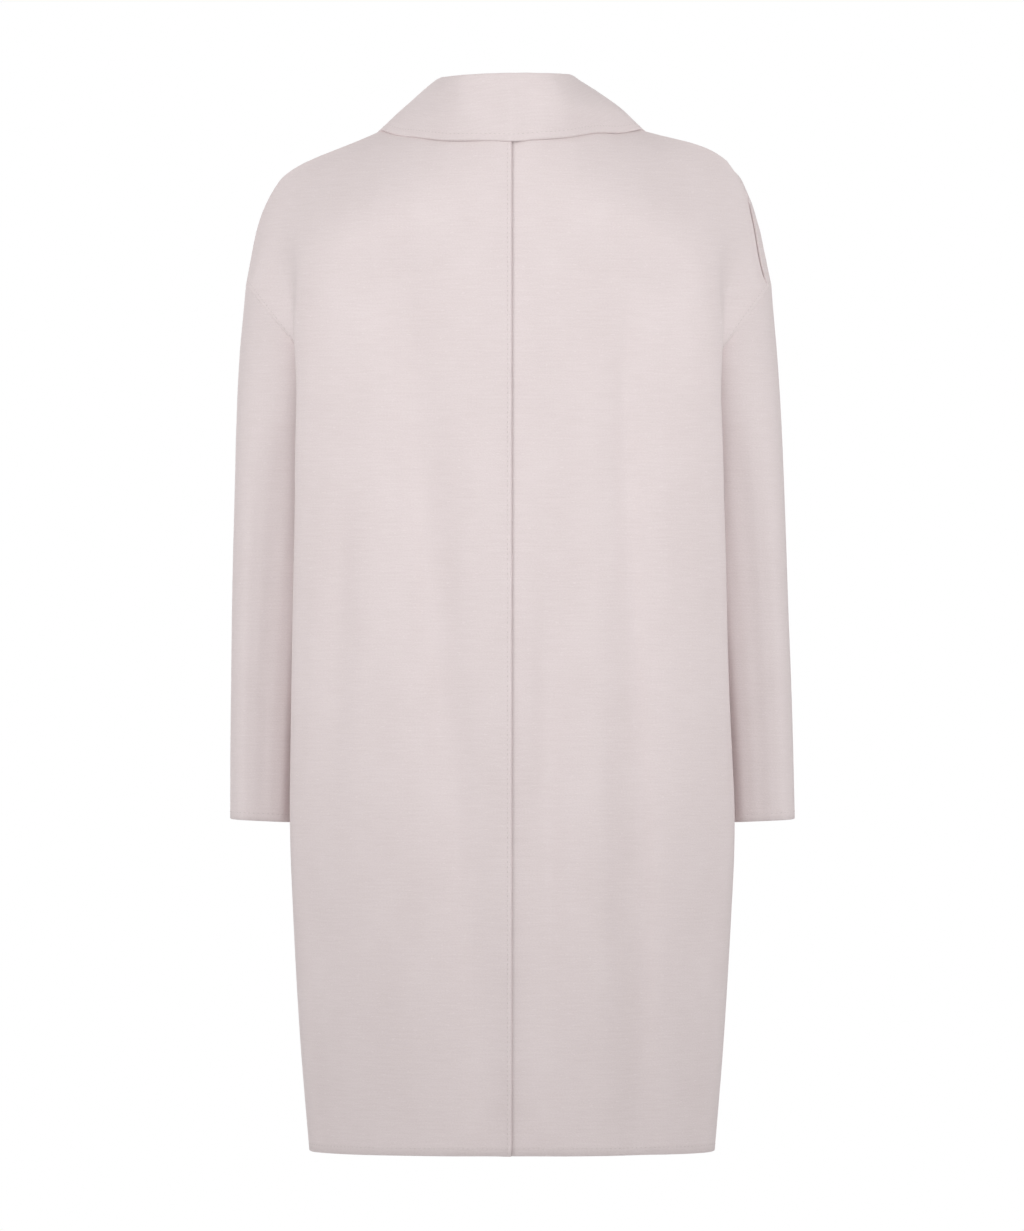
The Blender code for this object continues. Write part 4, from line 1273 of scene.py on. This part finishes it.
def make_side(side):
    """All the cut pieces of one side, with their stitches. Returns its front, for the buttons."""
    (back, back_n), (front, front_n), (sleeve, sleeve_n) = hung_panels(side)
    shell("back", side, back, back_n, hanging, ("top", "end"))
    shell("front", side, front, front_n, hanging, ("top", "end"))
    shell("sleeve", side, sleeve, sleeve_n, hanging, ("top",), ring=True)
    lapel, lapel_n = (finer(part) for part in lapel_grid(*coarse_front(side)))
    lapel_n = unit(lapel_n)
    lapel = rolled(lapel, lapel_n, ROLL_FADES[side])
    shell("lapel", side, lapel, lapel_n, lying)

    def marked(grid, normals, edge, distance, rows=slice(None)):
        return [mirrored(part[rows], side) for part in line_inside(grid, normals, edge, distance)]

    arm, low = slice(0, ARMHOLE_SPANS * FINER + 1), slice(BREAK_ROW * FINER, None)
    body = [marked(back, back_n, "low", EDGE_INSET), marked(back, back_n, "end", SEAM_INSET, arm)]
    if side == "left":
        body.append(marked(back, back_n, "start", LAP_STITCH))
    fore = [
        marked(front, front_n, "low", EDGE_INSET),
        marked(front, front_n, "start", EDGE_INSET, low),
        marked(front, front_n, "end", SEAM_INSET, arm),
        marked(lapel, lapel_n, "end", EDGE_INSET),
    ]
    stitches("stitches_back_" + side, body)
    stitches("stitches_front_" + side, fore)
    stitches("stitches_cuff_" + side, [marked(sleeve, sleeve_n, "low", EDGE_INSET)])
    return mirrored(front, side), mirrored(front_n, side)


def coarse_front(side):
    """A front panel on the pattern's own grid, with its directions."""
    grid = front_grid(side)
    return inset(grid, ("top", "end")), grid_normals(grid)


def dipped(points):
    """Rounds the two upper corners that the collar shows from behind."""
    dip = sum(depth * bell(points[..., 0] - x, COLLAR_DIP_WIDTH) for x, depth in COLLAR_DIPS)
    return points - (dip * smooth_step(points[..., 2], *COLLAR_DIP_LEVELS))[..., None] * (0, 0, 1)


def body_surface():
    """A search tree over the backs and fronts as they hang."""
    points, faces = [], []
    for node in ("back_left", "back_right", "front_left", "front_right"):
        mesh = bpy.data.objects["coat_" + node].data
        faces += [[i + len(points) for i in polygon.vertices] for polygon in mesh.polygons]
        points += [vertex.co.copy() for vertex in mesh.vertices]
    return BVHTree.FromPolygons(points, faces)


def rested_leaf(outer, inner):
    """Lays the free edge of the collar's leaf down on the back and shoulders."""
    body = body_surface()
    share = np.linspace(0, 1, len(inner))
    longer = sum(more * bell(share - at, LEAF_LONGER_WIDTH) for at, more in LEAF_LONGER)
    moves = edge_ways(inner)[:, -1] * longer[:, None]
    for move, point in zip(moves, inner[:, -1] + moves):
        place, _, _, gap = body.find_nearest(Vector(point))
        move += (np.array(place) - point) * max(0.0, 1 - LEAF_REST / gap)
    smooth(moves, LEAF_PASSES)
    moves *= window(len(inner), *LEAF_PLACES)[:, None]
    near = 1 - smooth_step(from_edge(inner, "end"), *LEAF_REACH)
    step = moves[:, None] * near[..., None]
    return outer + step, inner + step


def make_collar():
    """The collar in one piece from front end to front end, with stitches along its leaf."""
    halves = {}
    for side in SIDES:
        front = front_grid(side)
        neck = np.concatenate([neck_seam(), front[1 : COLLAR_FRONT_SPANS + 1, 0]])
        halves[side] = [mirrored(part, side) for part in collar_grid(halved(neck) + (0, 0, SEAM_GAP))]
    pairs = zip(halves["right"], halves["left"])
    grid, normals = (finer(np.concatenate([right[::-1], left[1:]])) for right, left in pairs)
    normals = unit(normals)
    outer, inner = rested_leaf(dipped(leaned(grid)), dipped(leaned(grid - normals * CLOTH)))
    mesh = cloth_mesh("coat_collar", outer, inner, edge_ways(outer), lying(outer))
    add_piece("coat_collar", mesh, WOOL, ("collar",))
    lines = [line_inside(outer, normals, edge, EDGE_INSET) for edge in ("end", "top", "low")]
    stitches("stitches_collar", lines)


def make_buttons(front, normals):
    """Four sewn buttons on the right front, the pair at its free edge with their buttonholes."""
    for name, x in (("right", -BUTTON_STANCE), ("left", BUTTON_STANCE)):
        for number, level in enumerate(BUTTON_LEVELS, 1):
            label = f"{name}_{number}"
            seat, way = surface_at(front, normals, x, level)
            turn = turned_button("sewn_button_" + label, seat, way, "button_" + label)
            button_thread("button_thread_" + label, turn)
            if name == "left":
                reach = np.linspace(*SLIT_REACH, SLIT_POINTS)
                slit = [surface_at(front, normals, x + step, level) for step in reach]
                buttonhole("buttonhole_" + label, *zip(*slit))


def surface_at(grid, normals, x, z):
    """The point and direction of a panel's surface at a place seen from the front."""
    middle = grid[:, int(grid.shape[1] * LEVELS_AT)]
    row = np.interp(-z, -middle[:, 2], np.arange(len(middle)))
    low = int(row)
    line = grid[low] + (grid[low + 1] - grid[low]) * (row - low)
    order = np.argsort(line[:, 0])
    across = line[order, 0]
    return read_at(x, across, line[order]), unit(read_at(x, across, normals[low][order]))


def area_light(name, place, target, size, power, spread):
    """A soft rectangular light at a place, turned towards a target."""
    light = bpy.data.lights.new(name, "AREA")
    light.shape = "RECTANGLE"
    light.size, light.size_y = size
    light.energy = power
    light.spread = math.radians(spread)
    obj = placed(name, light)
    obj.location = place
    obj.rotation_euler = (Vector(target) - Vector(place)).to_track_quat("-Z", "Y").to_euler()


def make_surround():
    """Light from all round, stronger from above, behind a white that only the camera sees."""
    world = bpy.data.worlds.new("studio")
    bpy.context.scene.world = world
    world.use_nodes = True
    tree = world.node_tree
    surround, seen = tree.nodes["Background"], added(tree, "Background", {"Color": WHITE})
    height = added(tree, "SeparateXYZ", {"Vector": added(tree, "TexCoord").outputs["Generated"]})
    fill(tree, surround, {"Color": WHITE, "Strength": ranged(tree, height.outputs["Z"], AMBIENT)})
    camera_ray = added(tree, "LightPath").outputs["Is Camera Ray"]
    shaders = (surround.outputs["Background"], seen.outputs["Background"])
    mix = added(tree, "MixShader", {"Fac": camera_ray, 1: shaders[0], 2: shaders[1]})
    fill(tree, tree.nodes["World Output"], {"Surface": mix.outputs["Shader"]})


def make_camera():
    """The camera behind the coat, with the photograph's frame."""
    data = bpy.data.cameras.new("photo_camera")
    data.sensor_fit = "VERTICAL"
    data.sensor_height = SENSOR
    data.lens = SENSOR * (CAMERA_DISTANCE - FOCUS_PLANE) / (FRAME_HEIGHT * METRES_PER_PIXEL)
    camera = placed("photo_camera", data)
    camera.location = (0, CAMERA_DISTANCE, (ORIGIN_ROW - FRAME_HEIGHT / 2) * METRES_PER_PIXEL)
    camera.rotation_euler = (math.pi / 2, 0, math.pi)
    bpy.context.scene.camera = camera


def make_studio():
    """A white surround, large soft lights, a pale floor and the camera."""
    bpy.context.scene.view_settings.view_transform = "Standard"
    make_surround()
    for light in LIGHTS:
        area_light(*light)
    bm = bmesh.new()
    bmesh.ops.create_circle(bm, cap_ends=True, segments=FLOOR_SIDES, radius=FLOOR_RADIUS)
    floor = placed("studio_floor", mesh_of("studio_floor", bm))
    floor.location.z = FLOOR_LEVEL
    paper, tree, shader = nodes_of("studio_paper")
    fill(tree, shader, FLOOR_FINISH)
    floor.data.materials.append(paper)
    make_camera()


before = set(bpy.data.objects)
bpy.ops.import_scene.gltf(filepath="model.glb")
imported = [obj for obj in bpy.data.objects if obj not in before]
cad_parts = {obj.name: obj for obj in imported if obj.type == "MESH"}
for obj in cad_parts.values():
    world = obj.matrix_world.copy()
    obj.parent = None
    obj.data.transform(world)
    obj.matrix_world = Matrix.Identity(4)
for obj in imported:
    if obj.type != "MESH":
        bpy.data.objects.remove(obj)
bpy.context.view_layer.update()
WOOL, THREAD, BUTTON = wool_material(), thread_material(), button_material()
fronts = {side: make_side(side) for side in SIDES}
make_collar()
make_buttons(*fronts["right"])
make_studio()
